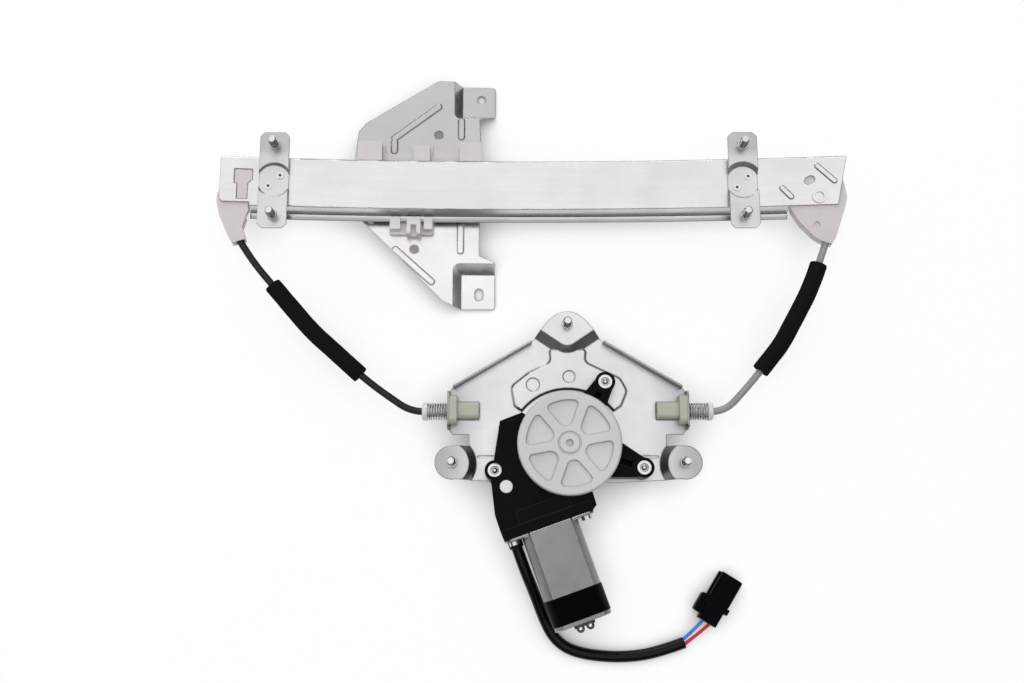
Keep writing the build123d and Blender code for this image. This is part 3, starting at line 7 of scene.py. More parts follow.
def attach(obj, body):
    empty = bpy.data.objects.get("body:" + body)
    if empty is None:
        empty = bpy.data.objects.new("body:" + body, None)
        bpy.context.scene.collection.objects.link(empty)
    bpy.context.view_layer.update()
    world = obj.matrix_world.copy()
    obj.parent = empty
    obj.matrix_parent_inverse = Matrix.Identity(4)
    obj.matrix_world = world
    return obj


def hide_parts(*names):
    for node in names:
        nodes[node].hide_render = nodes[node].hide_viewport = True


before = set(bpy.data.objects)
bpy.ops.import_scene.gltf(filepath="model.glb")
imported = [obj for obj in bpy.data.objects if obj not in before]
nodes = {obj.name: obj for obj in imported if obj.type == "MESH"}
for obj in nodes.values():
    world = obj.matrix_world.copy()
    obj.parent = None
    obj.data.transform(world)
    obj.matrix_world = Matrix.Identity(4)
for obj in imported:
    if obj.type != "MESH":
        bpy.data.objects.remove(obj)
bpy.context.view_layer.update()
bpy.ops.object.select_all(action="DESELECT")
mm = 0.001
print("frame loaded,", len(nodes), "pieces")


# nodes that the floor and the materials share
def addRange(tree, value, low, high, toLow=0.0, toHigh=1.0):
    node = tree.nodes.new("ShaderNodeMapRange")
    for title, level in (("From Min", low), ("From Max", high), ("To Min", toLow), ("To Max", toHigh)):
        node.inputs[title].default_value = level
    tree.links.new(value, node.inputs["Value"])
    return node.outputs[0]


def addMath(tree, operation, first, second):
    node = tree.nodes.new("ShaderNodeMath")
    node.operation = operation
    for k, value in enumerate((first, second)):
        if isinstance(value, (int, float)):
            node.inputs[k].default_value = value
        else:
            tree.links.new(value, node.inputs[k])
    return node.outputs[0]


# camera, lights and floor
camera = {
    "place": (-13.3, -164.1, 789.9), "aim": (-13.3, -1.5, 25.0),
    "lens": 40.43, "sensor": 36.0, "clip": (0.01, 50),
}
lamps = [
    {"name": "softKey", "place": (-200, 1350, 720), "size": 0.8, "power": 6.5},
    {"name": "softLeft", "place": (-1250, 250, 560), "size": 0.8, "power": 2.5},
]
floorLook = {
    "size": 12.0, "depth": -0.05, "white": 0.95, "colour": (0.98, 0.98, 0.98),
    "samples": 16, "reach": 38, "dark": 0.25, "clear": 0.86, "least": 0.26,      # painted shadow: the white glow dims under the object
}
room = {
    "strength": 1.35,
    "stops": [(0.0, 0.03), (0.40, 0.05), (0.62, 0.20), (0.78, 0.66), (0.86, 0.97), (1.0, 1.0)],
}


def aimAt(thing, target):
    thing.rotation_euler = (Vector(target) - thing.location).to_track_quat("-Z", "Y").to_euler()


def makeCamera():
    data = bpy.data.cameras.new("camera")
    data.lens = camera["lens"]
    data.sensor_width = camera["sensor"]
    data.clip_start, data.clip_end = camera["clip"]
    cam = bpy.data.objects.new("camera", data)
    bpy.context.scene.collection.objects.link(cam)
    cam.location = Vector(camera["place"]) * mm
    aimAt(cam, Vector(camera["aim"]) * mm)
    bpy.context.scene.camera = cam


def makeLamps():
    for lamp in lamps:
        data = bpy.data.lights.new(lamp["name"], "AREA")
        data.shape = "DISK"
        data.size = lamp["size"]
        data.energy = lamp["power"]
        light = bpy.data.objects.new(lamp["name"], data)
        bpy.context.scene.collection.objects.link(light)
        light.location = Vector(lamp["place"]) * mm
        aimAt(light, (0, 0, 0))


def whiteForCamera(tree):
    # 1 for camera, glossy and transmission rays, so that metal shows the same white background
    rays = tree.nodes.new("ShaderNodeLightPath")
    total = rays.outputs["Is Camera Ray"]
    for name in ("Is Glossy Ray", "Is Transmission Ray"):
        total = addMath(tree, "MAXIMUM", total, rays.outputs[name])
    return total


def makeRoom():
    world = bpy.data.worlds.new("room")
    bpy.context.scene.world = world
    world.use_nodes = True
    tree = world.node_tree
    tree.nodes.clear()
    out = tree.nodes.new("ShaderNodeOutputWorld")
    soft = tree.nodes.new("ShaderNodeBackground")
    plain = tree.nodes.new("ShaderNodeBackground")
    plain.inputs["Color"].default_value = (1, 1, 1, 1)
    mix = tree.nodes.new("ShaderNodeMixShader")
    spot = tree.nodes.new("ShaderNodeTexCoord")
    split = tree.nodes.new("ShaderNodeSeparateXYZ")
    ramp = tree.nodes.new("ShaderNodeValToRGB")
    stops = ramp.color_ramp.elements
    for k, (height, level) in enumerate(room["stops"]):
        stop = stops[k] if k < 2 else stops.new(height)      # a new ramp has two stops already
        stop.position = height
        stop.color = (level, level, level, 1)
    rays = tree.nodes.new("ShaderNodeLightPath")
    tree.links.new(spot.outputs["Generated"], split.inputs[0])
    tree.links.new(split.outputs["Z"], ramp.inputs["Fac"])
    tree.links.new(ramp.outputs[0], soft.inputs["Color"])
    soft.inputs["Strength"].default_value = room["strength"]
    tree.links.new(rays.outputs["Is Camera Ray"], mix.inputs[0])
    tree.links.new(soft.outputs[0], mix.inputs[1])
    tree.links.new(plain.outputs[0], mix.inputs[2])
    tree.links.new(mix.outputs[0], out.inputs["Surface"])


def makeFloor():
    bpy.ops.mesh.primitive_plane_add(size=floorLook["size"], location=(0, 0, floorLook["depth"] * mm))
    floor = bpy.context.object
    floor.name = "floor"
    bpy.ops.object.transform_apply(location=True)
    look = bpy.data.materials.new("paleFloor")
    look.use_nodes = True
    tree = look.node_tree
    tree.nodes.clear()
    out = tree.nodes.new("ShaderNodeOutputMaterial")
    matt = tree.nodes.new("ShaderNodeBsdfDiffuse")
    matt.inputs["Color"].default_value = (*floorLook["colour"], 1)
    near = tree.nodes.new("ShaderNodeAmbientOcclusion")      # painted shadow: the white glow dims by ambient occlusion under and beside the object
    near.samples = floorLook["samples"]
    near.inputs["Distance"].default_value = floorLook["reach"] * mm
    level = addRange(tree, near.outputs["AO"], floorLook["dark"], floorLook["clear"], floorLook["least"])
    glow = tree.nodes.new("ShaderNodeEmission")
    tree.links.new(level, glow.inputs["Strength"])
    mix = tree.nodes.new("ShaderNodeMixShader")
    tree.links.new(addMath(tree, "MULTIPLY", whiteForCamera(tree), floorLook["white"]), mix.inputs[0])
    tree.links.new(matt.outputs[0], mix.inputs[1])
    tree.links.new(glow.outputs[0], mix.inputs[2])
    tree.links.new(mix.outputs[0], out.inputs["Surface"])
    floor.data.materials.append(look)
    floor.select_set(False)


bpy.context.scene.view_settings.view_transform = "Standard"
makeCamera()
makeLamps()
makeRoom()
makeFloor()
print("camera, lights and floor stand")


# shared shader effects
def newSkin(name, sockets):
    group = bpy.data.node_groups.new(name, "ShaderNodeTree")
    face = group.interface
    face.new_socket("Vector", in_out="INPUT", socket_type="NodeSocketVector")
    for title, value in sockets.items():
        face.new_socket(title, in_out="INPUT", socket_type="NodeSocketFloat").default_value = value
    for title in ("Tone", "Rough", "Height"):
        face.new_socket(title, in_out="OUTPUT", socket_type="NodeSocketFloat")
    return group, group.nodes.new("NodeGroupInput"), group.nodes.new("NodeGroupOutput")


def addNoise(tree, vector, scale, detail, roughness):
    cloud = tree.nodes.new("ShaderNodeTexNoise")
    cloud.inputs["Scale"].default_value = scale
    cloud.inputs["Detail"].default_value = detail
    cloud.inputs["Roughness"].default_value = roughness
    tree.links.new(vector, cloud.inputs["Vector"])
    return cloud.outputs["Fac"]


def addTone(tree, value, reach, share):
    # what a pattern adds to the tone, by the share that the material sets
    return addMath(tree, "MULTIPLY", addRange(tree, value, *reach), share)


def addAll(tree, values):
    total = values[0]
    for value in values[1:]:
        total = addMath(tree, "ADD", total, value)
    return total


# scale, detail and roughness of each pattern; then the part of its range that counts, and what it adds
rolled = {
    "stretch": (0.03, 1.0, 1.0),
    "lines": (1500, 3.0, 0.6), "lineTone": (0.3, 0.7, -0.07, 0.07), "lineRough": (0.3, 0.7, -0.05, 0.05),
    "streaks": (260, 2.0, 0.5), "streakTone": (0.3, 0.7, -0.05, 0.05),
    "stains": (28, 3.0, 0.55), "stainTone": (0.35, 0.7, 0.03, -0.09), "stainRough": (0.3, 0.7, -0.04, 0.08),
    "specks": (900, 2.0, 0.5), "speckTone": (0.6, 0.75, 0.0, -0.06),
}
moulded = {
    "grainDetail": 1.5,
    "haze": (45, 3.0, 0.5), "hazeTone": (0.35, 0.7, -0.06, 0.08), "hazeRough": (0.3, 0.7, -0.05, 0.09),
    "dust": (1400, 2.0, 0.5), "dustTone": (0.62, 0.78, 0.0, 0.25),
}


def makeRolledGrain():
    # long fine lines of rolled sheet, with broad soft stains
    group, start, end = newSkin("rolledGrain", {"Lines": 0.5, "Stains": 0.5})
    spot, most, stained = start.outputs["Vector"], start.outputs["Lines"], start.outputs["Stains"]
    stretch = group.nodes.new("ShaderNodeMapping")
    stretch.inputs["Scale"].default_value = rolled["stretch"]
    group.links.new(spot, stretch.inputs["Vector"])
    lines = addNoise(group, stretch.outputs[0], *rolled["lines"])
    streaks = addNoise(group, stretch.outputs[0], *rolled["streaks"])
    stains = addNoise(group, spot, *rolled["stains"])
    specks = addNoise(group, spot, *rolled["specks"])
    lined = addMath(group, "ADD", addTone(group, lines, rolled["lineTone"], most),
                    addTone(group, streaks, rolled["streakTone"], most))
    spotted = addMath(group, "ADD", addTone(group, stains, rolled["stainTone"], stained),
                      addTone(group, specks, rolled["speckTone"], stained))
    rough = [addRange(group, stains, *rolled["stainRough"]), addRange(group, lines, *rolled["lineRough"])]
    group.links.new(addAll(group, [lined, spotted, 1.0]), end.inputs["Tone"])
    group.links.new(addAll(group, rough), end.inputs["Rough"])
    group.links.new(addMath(group, "MULTIPLY", lines, most), end.inputs["Height"])
    return group


def makeMouldedSkin():
    # fine even grain of a moulded part, with a little haze
    group, start, end = newSkin("mouldedSkin", {"Grain": 700.0, "Haze": 0.5})
    spot, hazed = start.outputs["Vector"], start.outputs["Haze"]
    grain = group.nodes.new("ShaderNodeTexNoise")
    grain.inputs["Detail"].default_value = moulded["grainDetail"]
    group.links.new(spot, grain.inputs["Vector"])
    group.links.new(start.outputs["Grain"], grain.inputs["Scale"])
    haze = addNoise(group, spot, *moulded["haze"])
    dust = addNoise(group, spot, *moulded["dust"])
    tones = [addTone(group, haze, moulded["hazeTone"], hazed),
             addTone(group, dust, moulded["dustTone"], hazed)]
    group.links.new(addAll(group, [*tones, 1.0]), end.inputs["Tone"])
    group.links.new(addRange(group, haze, *moulded["hazeRough"]), end.inputs["Rough"])
    group.links.new(grain.outputs["Fac"], end.inputs["Height"])
    return group


rolledGrain = makeRolledGrain()
mouldedSkin = makeMouldedSkin()


# materials
edges = {"samples": 4, "turn": (0.99, 0.80)}     # from an edge without its wear and painted shading to one with all of it
wallShadeSlope = (0.15, 0.45)                         # from a wall in full painted shade to a face without it
reliefReach = {"metal": 0.02, "plastic": 0.05}
plasticRim = {"share": 1.15, "lift": 0.05}       # the edges of a plastic, worn and with a painted highlight, are its own colour, paler


def newLook(name, colour, roughness, metallic, **sockets):
    look = bpy.data.materials.new(name)
    look.use_nodes = True
    shader = look.node_tree.nodes["Principled BSDF"]
    shader.inputs["Base Color"].default_value = (*colour, 1)
    shader.inputs["Roughness"].default_value = roughness
    shader.inputs["Metallic"].default_value = metallic
    for title, value in sockets.items():
        shader.inputs[title.replace("_", " ")].default_value = value
    return look, look.node_tree, shader


def objectSpot(tree, turn=0.0):
    spot = tree.nodes.new("ShaderNodeTexCoord")
    if not turn:
        return spot.outputs["Object"]
    mapping = tree.nodes.new("ShaderNodeMapping")
    mapping.inputs["Rotation"].default_value = (0, 0, math.radians(turn))
    tree.links.new(spot.outputs["Object"], mapping.inputs["Vector"])
    return mapping.outputs[0]


def roundEdges(tree, radius):
    edge = tree.nodes.new("ShaderNodeBevel")
    edge.samples = edges["samples"]
    edge.inputs["Radius"].default_value = radius * mm
    return edge.outputs[0]


def edgeMask(tree, rounded):
    # how far the rounded edge turns away from the true face
    facing = tree.nodes.new("ShaderNodeNewGeometry")
    dot = tree.nodes.new("ShaderNodeVectorMath")
    dot.operation = "DOT_PRODUCT"
    tree.links.new(rounded, dot.inputs[0])
    tree.links.new(facing.outputs["Normal"], dot.inputs[1])
    return addRange(tree, dot.outputs["Value"], *edges["turn"])


def mixColours(tree, factor, first, second):
    mix = tree.nodes.new("ShaderNodeMix")
    mix.data_type = "RGBA"
    tree.links.new(factor, mix.inputs["Factor"])
    for socket, colour in ((mix.inputs[6], first), (mix.inputs[7], second)):
        if isinstance(colour, tuple):
            socket.default_value = (*colour, 1)
        else:
            tree.links.new(colour, socket)
    return mix.outputs[2]


def finishLook(tree, shader, colour, roughness, skin, bump, reach, edge, edgeWearAndShadingColour, edgeWearAndShading, base=None):
    # puts a skin's tone, roughness and height on the shader, and another colour on the edges, as wear and
    # painted edge shading
    tint = tree.nodes.new("ShaderNodeVectorMath")
    tint.operation = "SCALE"
    tint.inputs[0].default_value = colour
    if base:
        tree.links.new(base, tint.inputs[0])
    tree.links.new(skin.outputs["Tone"], tint.inputs["Scale"])
    shade = tint.outputs[0]
    rough = addMath(tree, "ADD", skin.outputs["Rough"], roughness)
    relief = tree.nodes.new("ShaderNodeBump")
    relief.inputs["Strength"].default_value = bump
    relief.inputs["Distance"].default_value = reach * mm
    tree.links.new(skin.outputs["Height"], relief.inputs["Height"])
    if edge:
        rounded = roundEdges(tree, edge)
        tree.links.new(rounded, relief.inputs["Normal"])
        if edgeWearAndShading:
            wear = addMath(tree, "MULTIPLY", edgeMask(tree, rounded), edgeWearAndShading)
            shade = mixColours(tree, wear, shade, edgeWearAndShadingColour)
    tree.links.new(shade, shader.inputs["Base Color"])
    tree.links.new(rough, shader.inputs["Roughness"])
    tree.links.new(relief.outputs[0], shader.inputs["Normal"])


def paintShadingAcross(tree, colour, other, low, high, axis="Y", middle=None):
    # painted light and shade: from the other colour at low to the metal's own at high, in millimetres along
    # an axis or from a middle
    split = tree.nodes.new("ShaderNodeSeparateXYZ")
    tree.links.new(objectSpot(tree), split.inputs[0])
    place = split.outputs[axis]
    if middle is not None:
        place = addMath(tree, "ABSOLUTE", addMath(tree, "SUBTRACT", place, middle * mm), 0.0)
    return mixColours(tree, addRange(tree, place, low * mm, high * mm), other, colour)


def paintWallShade(tree, base, dark):
    # painted shade: walls that stand up from a sheet get a darker colour than its rolled face
    facing = tree.nodes.new("ShaderNodeNewGeometry")
    split = tree.nodes.new("ShaderNodeSeparateXYZ")
    tree.links.new(facing.outputs["Normal"], split.inputs[0])
    level = addMath(tree, "ABSOLUTE", split.outputs["Z"], 0.0)
    return mixColours(tree, addRange(tree, level, *wallShadeSlope), dark, base)


def placeSkin(tree, group, vector, values):
    skin = tree.nodes.new("ShaderNodeGroup")
    skin.node_tree = group
    for title, value in values.items():
        skin.inputs[title].default_value = value
    tree.links.new(vector, skin.inputs["Vector"])
    return skin


# a metal's rim colour is painted shade along its edges where it is dark, and a painted highlight where it is
# pale
def metalLook(name, colour, roughness, turn=0.0, lines=0.6, stains=0.5, edge=0.5, wear=0.6,
              rim=(0.25, 0.25, 0.26), metallic=1.0, bump=0.15, paintedShading=None, wallShade=None):
    look, tree, shader = newLook(name, colour, roughness, metallic)
    skin = placeSkin(tree, rolledGrain, objectSpot(tree, turn), {"Lines": lines, "Stains": stains})
    base = paintShadingAcross(tree, colour, **paintedShading) if paintedShading else None
    if wallShade:
        base = paintWallShade(tree, base, wallShade)
    finishLook(tree, shader, colour, roughness, skin, bump, reliefReach["metal"], edge, rim, wear, base)
    return look


def plasticLook(name, colour, roughness, grain=700.0, haze=0.5, edge=0.3, wear=0.25, bump=0.12, **sockets):
    look, tree, shader = newLook(name, colour, roughness, 0.0, **sockets)
    skin = placeSkin(tree, mouldedSkin, objectSpot(tree), {"Grain": grain, "Haze": haze})
    paler = tuple(min(1.0, part * plasticRim["share"] + plasticRim["lift"]) for part in colour)
    finishLook(tree, shader, colour, roughness, skin, bump, reliefReach["plastic"], edge, paler, wear)
    return look


motorLean = 19.5         # degrees from -Y towards +X
metals = {
    "railSteel": {
        "colour": (0.62, 0.61, 0.63), "roughness": 0.27, "lines": 0.4, "stains": 0.35, "edge": 0.8,
        # painted shade: a dark rim along the rail's edges, and a darker lower lip below y 86.6 to 88.6 mm
        "wear": 1.0, "rim": (0.13, 0.13, 0.135), "bump": 0.05,
        "paintedShading": {"other": (0.33, 0.33, 0.345), "low": 86.6, "high": 88.6},
    },
    "zincSteel": {
        "colour": (0.575, 0.555, 0.58), "roughness": 0.30, "lines": 0.2, "stains": 0.5, "edge": 0.8,
        # painted shade: the straps grow darker towards their upper tabs, from y 125 to 132 mm
        "wear": 0.7, "bump": 0.05, "paintedShading": {"other": (0.44, 0.43, 0.445), "low": 132, "high": 125},
    },
    "plateSteel": {
        "colour": (0.62, 0.60, 0.625), "roughness": 0.30, "lines": 0.2, "stains": 0.5, "edge": 1.3,
        "wear": 0.7, "rim": (0.24, 0.24, 0.25), "bump": 0.05,
        # painted shade: the plate is darker from 56 mm out to 84 mm either side of x 24.3, on its side lobes
        "paintedShading": {"other": (0.36, 0.355, 0.365), "low": 84, "high": 56, "axis": "X", "middle": 24.3},
        # painted shade on the plate's standing walls and flanges
        "wallShade": (0.10, 0.10, 0.105),
    },
    "carrierSteel": {
        "colour": (0.44, 0.43, 0.445), "roughness": 0.28, "lines": 0.2, "stains": 0.4, "edge": 1.2,
        # painted light and shade: the carrier fades from a light lower part at y 85 mm to a darker upper
        # part at y 140 mm
        "wear": 0.55, "bump": 0.05, "paintedShading": {"other": (0.71, 0.69, 0.695), "low": 85, "high": 140},
    },
    "brightSteel": {
        "colour": (0.60, 0.60, 0.61), "roughness": 0.22, "lines": 0.3, "stains": 0.3, "edge": 0.25,
        "wear": 0.3,
    },
    "rivetShade": {
        "colour": (0.09, 0.09, 0.095), "roughness": 0.35, "lines": 0.2, "stains": 0.5, "edge": 0.12,
        # painted highlight: the pale rim on the rivet cores' edges
        "wear": 1.0, "rim": (0.55, 0.55, 0.56),
    },
    "canSteel": {
        "colour": (0.22, 0.22, 0.23), "roughness": 0.36, "turn": motorLean - 90, "lines": 0.4,
        # painted highlight: the pale rim along the can's edges
        "stains": 1.0, "edge": 0.9, "wear": 1.0, "rim": (0.9, 0.9, 0.9),
    },
    "coverSteel": {
        "colour": (0.65, 0.645, 0.65), "roughness": 0.50, "lines": 0.15, "stains": 0.35, "edge": 1.0,
        "wear": 0.6, "rim": (0.26, 0.26, 0.27), "metallic": 0.3, "bump": 0.1,
    },
    "springSteel": {
        "colour": (0.56, 0.56, 0.57), "roughness": 0.42, "lines": 0.2, "stains": 0.3, "edge": 0.0,
        "wear": 0.0,
    },
    "strand": {
        "colour": (0.45, 0.45, 0.46), "roughness": 0.35, "lines": 0.5, "stains": 0.4, "edge": 0.0,
        "wear": 0.0,
    },
    "nippleZinc": {"colour": (0.48, 0.48, 0.50), "roughness": 0.5, "lines": 0.1, "stains": 0.6},
    "pinTin": {"colour": (0.66, 0.64, 0.58), "roughness": 0.25, "lines": 0.3, "stains": 0.3},
    "armatureSteel": {
        "colour": (0.60, 0.52, 0.45), "roughness": 0.4, "turn": 90.0, "lines": 0.5, "stains": 0.5,
    },
}
plastics = {
    "magnet": {"colour": (0.11, 0.11, 0.12), "roughness": 0.6, "grain": 900.0, "haze": 0.6},
    "carbon": {"colour": (0.07, 0.065, 0.06), "roughness": 0.7, "grain": 900.0, "haze": 0.6},
    "guidePlastic": {
        "colour": (0.69, 0.63, 0.65), "roughness": 0.42, "grain": 500.0, "haze": 0.4, "edge": 0.4,
        "wear": 0.2, "Subsurface_Weight": 0.06,
    },
    "sliderPlastic": {
        "colour": (0.84, 0.785, 0.81), "roughness": 0.38, "grain": 500.0, "haze": 0.4, "edge": 0.4,
        "wear": 0.2, "Subsurface_Weight": 0.06,
    },
    "creamPlastic": {
        "colour": (0.52, 0.50, 0.41), "roughness": 0.40, "grain": 500.0, "haze": 0.4, "edge": 0.4,
        "wear": 0.2, "Subsurface_Weight": 0.10,
    },
    "blackConduit": {
        "colour": (0.014, 0.015, 0.018), "roughness": 0.35, "grain": 500.0, "Specular_IOR_Level": 0.25,
    },
    "greyConduit": {"colour": (0.32, 0.32, 0.325), "roughness": 0.25, "grain": 500.0},
    "foam": {
        "colour": (0.009, 0.009, 0.011), "roughness": 0.92, "grain": 900.0, "haze": 0.8, "edge": 0.0,
        "wear": 0.0, "bump": 0.7, "Specular_IOR_Level": 0.05,
    },
    "blackHousing": {
        # wear and painted highlight: the housing's edges are paler
        "colour": (0.0028, 0.003, 0.004), "roughness": 0.33, "grain": 600.0, "edge": 0.6, "wear": 0.9,
        "Specular_IOR_Level": 0.045,
    },
    "blackBand": {
        "colour": (0.0012, 0.0016, 0.0025), "roughness": 0.35, "grain": 400.0, "haze": 0.4, "edge": 0.3,
        "wear": 0.1, "Specular_IOR_Level": 0.015,
    },
    "darkPlastic": {"colour": (0.05, 0.05, 0.055), "roughness": 0.40, "grain": 500.0},
    "brownCard": {"colour": (0.20, 0.12, 0.07), "roughness": 0.5, "grain": 500.0},
    "wheelPlastic": {"colour": (0.74, 0.72, 0.66), "roughness": 0.45, "grain": 500.0, "haze": 0.4},
    "rubber": {
        "colour": (0.003, 0.003, 0.0035), "roughness": 0.20, "grain": 350.0, "Specular_IOR_Level": 0.15,
    },
    "bluePvc": {
        "colour": (0.05, 0.26, 0.82), "roughness": 0.35, "grain": 500.0, "haze": 0.3, "edge": 0.0,
    },
    "redPvc": {
        "colour": (0.78, 0.012, 0.07), "roughness": 0.35, "grain": 500.0, "haze": 0.3, "edge": 0.0,
    },
    "plugPlastic": {"colour": (0.84, 0.83, 0.83), "roughness": 0.45, "haze": 0.6, "wear": 0.2},
    "blackConnector": {
        "colour": (0.0018, 0.002, 0.003), "roughness": 0.38, "grain": 500.0, "edge": 0.4, "wear": 0.3,
        "Specular_IOR_Level": 0.03,
    },
}
looks = {name: metalLook(name, **facts) for name, facts in metals.items()}
looks.update((name, plasticLook(name, **facts)) for name, facts in plastics.items())

# the pieces that each material is on
worn = {
    "railSteel": ["rail"],
    "zincSteel": ["left_strap", "right_strap"],
    "plateSteel": ["motor_plate"],
    "carrierSteel": ["carrier_plate"],
    "brightSteel": ["strap_studs", "strap_rivets", "guide_rivet", "plate_studs", "boss_sleeves",
                    "housing_screws", "motor_screws", "output_shaft", "left_ferrule", "right_ferrule"],
    "guidePlastic": ["left_cable_guide", "right_cable_guide", "upper_slider"],
    "sliderPlastic": ["lower_slider", "cable_holder", "left_tension_sleeve", "right_tension_sleeve"],
    "plugPlastic": ["housing_plug"],
    "creamPlastic": ["left_plate_bush", "right_plate_bush"],
    "blackConduit": ["left_conduit"],
    "greyConduit": ["right_conduit"],
    "strand": ["left_conduit_cable", "right_conduit_cable", "left_drum_cable", "right_drum_cable",
               "rail_cable", "drum_windings"],
    "foam": ["left_foam_sleeve", "right_foam_sleeve"],
    "springSteel": ["left_tension_spring", "right_tension_spring"],
    "nippleZinc": ["cable_nipples"],
    "blackHousing": ["gear_housing", "drum_housing"],
    "coverSteel": ["gear_cover"],
    "canSteel": ["motor_can"],
    "blackBand": ["motor_band"],
    "darkPlastic": ["motor_end_rest"],
    "magnet": ["motor_magnets"],
    "brownCard": ["brush_holder"],
    "carbon": ["brushes"],
    "armatureSteel": ["armature"],
    "wheelPlastic": ["worm_wheel", "cable_drum"],
    "rubber": ["harness_grommet", "harness_sheath"],
    "bluePvc": ["blue_wire"],
    "redPvc": ["red_wire"],
    "blackConnector": ["connector_housing"],
    "pinTin": ["connector_pins"],
}
for lookName, members in worn.items():
    for member in members:
        for slot in nodes[member].material_slots:
            slot.material = looks[lookName]
print("materials are on", sum(len(m) for m in worn.values()), "pieces")


# harness: the sheath and its two wires, from the motor to the connector
motor = {"wormSpot": (-4.262, -83.214, 31.0), "exit": (-24.2, -8.6, 51.6)}
sheath = {
    "radius": 3.8,
    "firstRun": 14.5,
    "points": [(2.6, -171.5, 13.2), (8.0, -185.7, 8.2), (13.9, -197.2, 5.4), (23.4, -204.9, 4.1),
               (38.1, -208.8, 3.95), (60.0, -210.2, 4.05), (82.0, -207.4, 3.95), (100.6, -200.7, 4.1)],
    "length": 0.150,         # in metres, up to the connector
}


def motorAhead():
    # the direction along the motor, away from its worm
    lean = math.radians(motorLean)
    return Vector((math.sin(lean), -math.cos(lean), 0))


def motorPoint(across, height, along):
    ahead = motorAhead()
    side = Vector((-ahead.y, ahead.x, 0))
    return Vector(motor["wormSpot"]) + side * across + ahead * along + Vector((0, 0, height))


def sheathRoute():
    start = motorPoint(*motor["exit"])
    return [start, start + motorAhead() * sheath["firstRun"], *[Vector(place) for place in sheath["points"]]]


def layCord(name, points, radius, look, fine=10, around=6):
    data = bpy.data.curves.new(name, "CURVE")
    data.dimensions = "3D"
    data.resolution_u = fine
    data.bevel_depth = radius * mm
    data.bevel_resolution = around
    data.use_fill_caps = True
    line = data.splines.new("NURBS")
    line.points.add(len(points) - 1)
    for control, place in zip(line.points, points):
        control.co = (*(Vector(place) * mm), 1)
    line.order_u = 3
    line.use_endpoint_u = True
    cord = bpy.data.objects.new(name, data)
    bpy.context.scene.collection.objects.link(cord)
    data.materials.append(look)
    return cord


leads = {
    "radius": 1.1,
    "blue": [(98.2, -200.0, 4.1), (103.2, -195.8, 4.7), (108.4, -190.9, 6.8), (112.88, -186.18, 7.2)],
    "red": [(99.4, -202.9, 4.1), (105.3, -198.4, 4.7), (111.6, -193.4, 6.8), (117.12, -188.82, 7.2)],
}


def layLead(colour):
    lead = layCord(colour + "Lead", leads[colour], leads["radius"], looks[colour + "Pvc"], fine=8, around=4)
    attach(lead, "frame")
    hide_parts(colour + "_wire")
    return lead


blueLead, redLead = layLead("blue"), layLead("red")
route = sheathRoute()
sheathCord = layCord("sheath", route, sheath["radius"], looks["rubber"])
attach(sheathCord, "frame")
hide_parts("harness_sheath")
print("harness is laid")


# threaded studs, turned once for each thickness of sheet and copied
stud = {
    "radius": 3.0, "length": 11.0, "pitch": 1.0, "depth": 0.52, "crest": 1.15, "tip": 0.9,
    "sides": 36, "rowsPerTurn": 6, "smooth": 35,
    "root": 0.05, "runOut": 0.10, "firstRow": 0.15,      # heights above the collar
    "neck": 2.6, "collar": 3.8, "collarHeight": 1.2, "collarFoot": 0.15, "collarTop": 0.3,
    "head": 5.2, "headHeight": 1.4, "headBack": (0.5, 0.3), "headRim": 0.2,
    "strapSheet": 1.6, "plateSheet": 1.5,
    "strapSpots": [(-177.5, 84.0, 39.5), (-177.5, 134.6, 39.5), (146.3, 84.0, 39.5), (146.3, 134.6, 39.5)],
    "plateSpots": [(-53.5, -83.8, 26.0), (102.1, -83.8, 26.0), (24.3, 10.5, 26.0)],
}


def studProfile(sheet):
    # radius and height of each ring, from the back of the head up to the foot of the thread
    head, neck, collar, top = stud["head"], stud["neck"], stud["collar"], stud["collarHeight"]
    foot, shoulder = stud["collarFoot"], stud["collarTop"]
    back, rim = -sheet - stud["headHeight"], stud["headRim"]
    inset, rise = stud["headBack"]
    return [
        (head - inset, back), (head, back + rise), (head, -sheet - rim), (head - rim, -sheet),
        (neck, -sheet), (neck, 0.0), (collar - foot, 0.0), (collar, foot),
        (collar, top - shoulder), (collar - shoulder, top), (stud["radius"], top + stud["root"]),
    ]


def turnPiece(name, profile, sides):
    # a disc that is drawn up ring by ring
    radius, height = profile[0]
    bpy.ops.object.select_all(action="DESELECT")
    bpy.ops.mesh.primitive_circle_add(vertices=sides, radius=radius * mm, fill_type="NGON",
                                      location=(0, 0, height * mm))
    piece = bpy.context.object
    piece.name = name
    bpy.ops.object.transform_apply(location=True)
    bpy.ops.object.mode_set(mode="EDIT")
    for wide, high in profile[1:]:
        bpy.ops.mesh.extrude_region_move(TRANSFORM_OT_translate={"value": (0, 0, (high - height) * mm)})
        if wide != radius:
            share = wide / radius
            bpy.ops.transform.resize(value=(share, share, 1), center_override=(0, 0, high * mm))
        radius, height = wide, high
    bpy.ops.mesh.select_all(action="SELECT")
    bpy.ops.mesh.normals_make_consistent(inside=False)
    bpy.ops.object.mode_set(mode="OBJECT")
    return piece


def cutThread(piece):
    # a helix of the stud's pitch, run out at the collar and at the chamfered tip
    foot, end = stud["collarHeight"] + stud["runOut"], stud["length"]
    for vertex in piece.data.vertices:
        x, y, z = vertex.co / mm
        if z < foot:
            continue
        turn = z / stud["pitch"] - math.atan2(y, x) / math.tau
        wave = abs(2 * (turn % 1.0) - 1)
        cut = stud["depth"] * (1 - min(1.0, stud["crest"] * wave)) * min(1.0, (z - foot) / stud["pitch"])
        limit = min(stud["radius"] - cut, stud["radius"] - stud["tip"] + (end - z))
        share = limit / math.hypot(x, y)
        vertex.co.x *= share
        vertex.co.y *= share


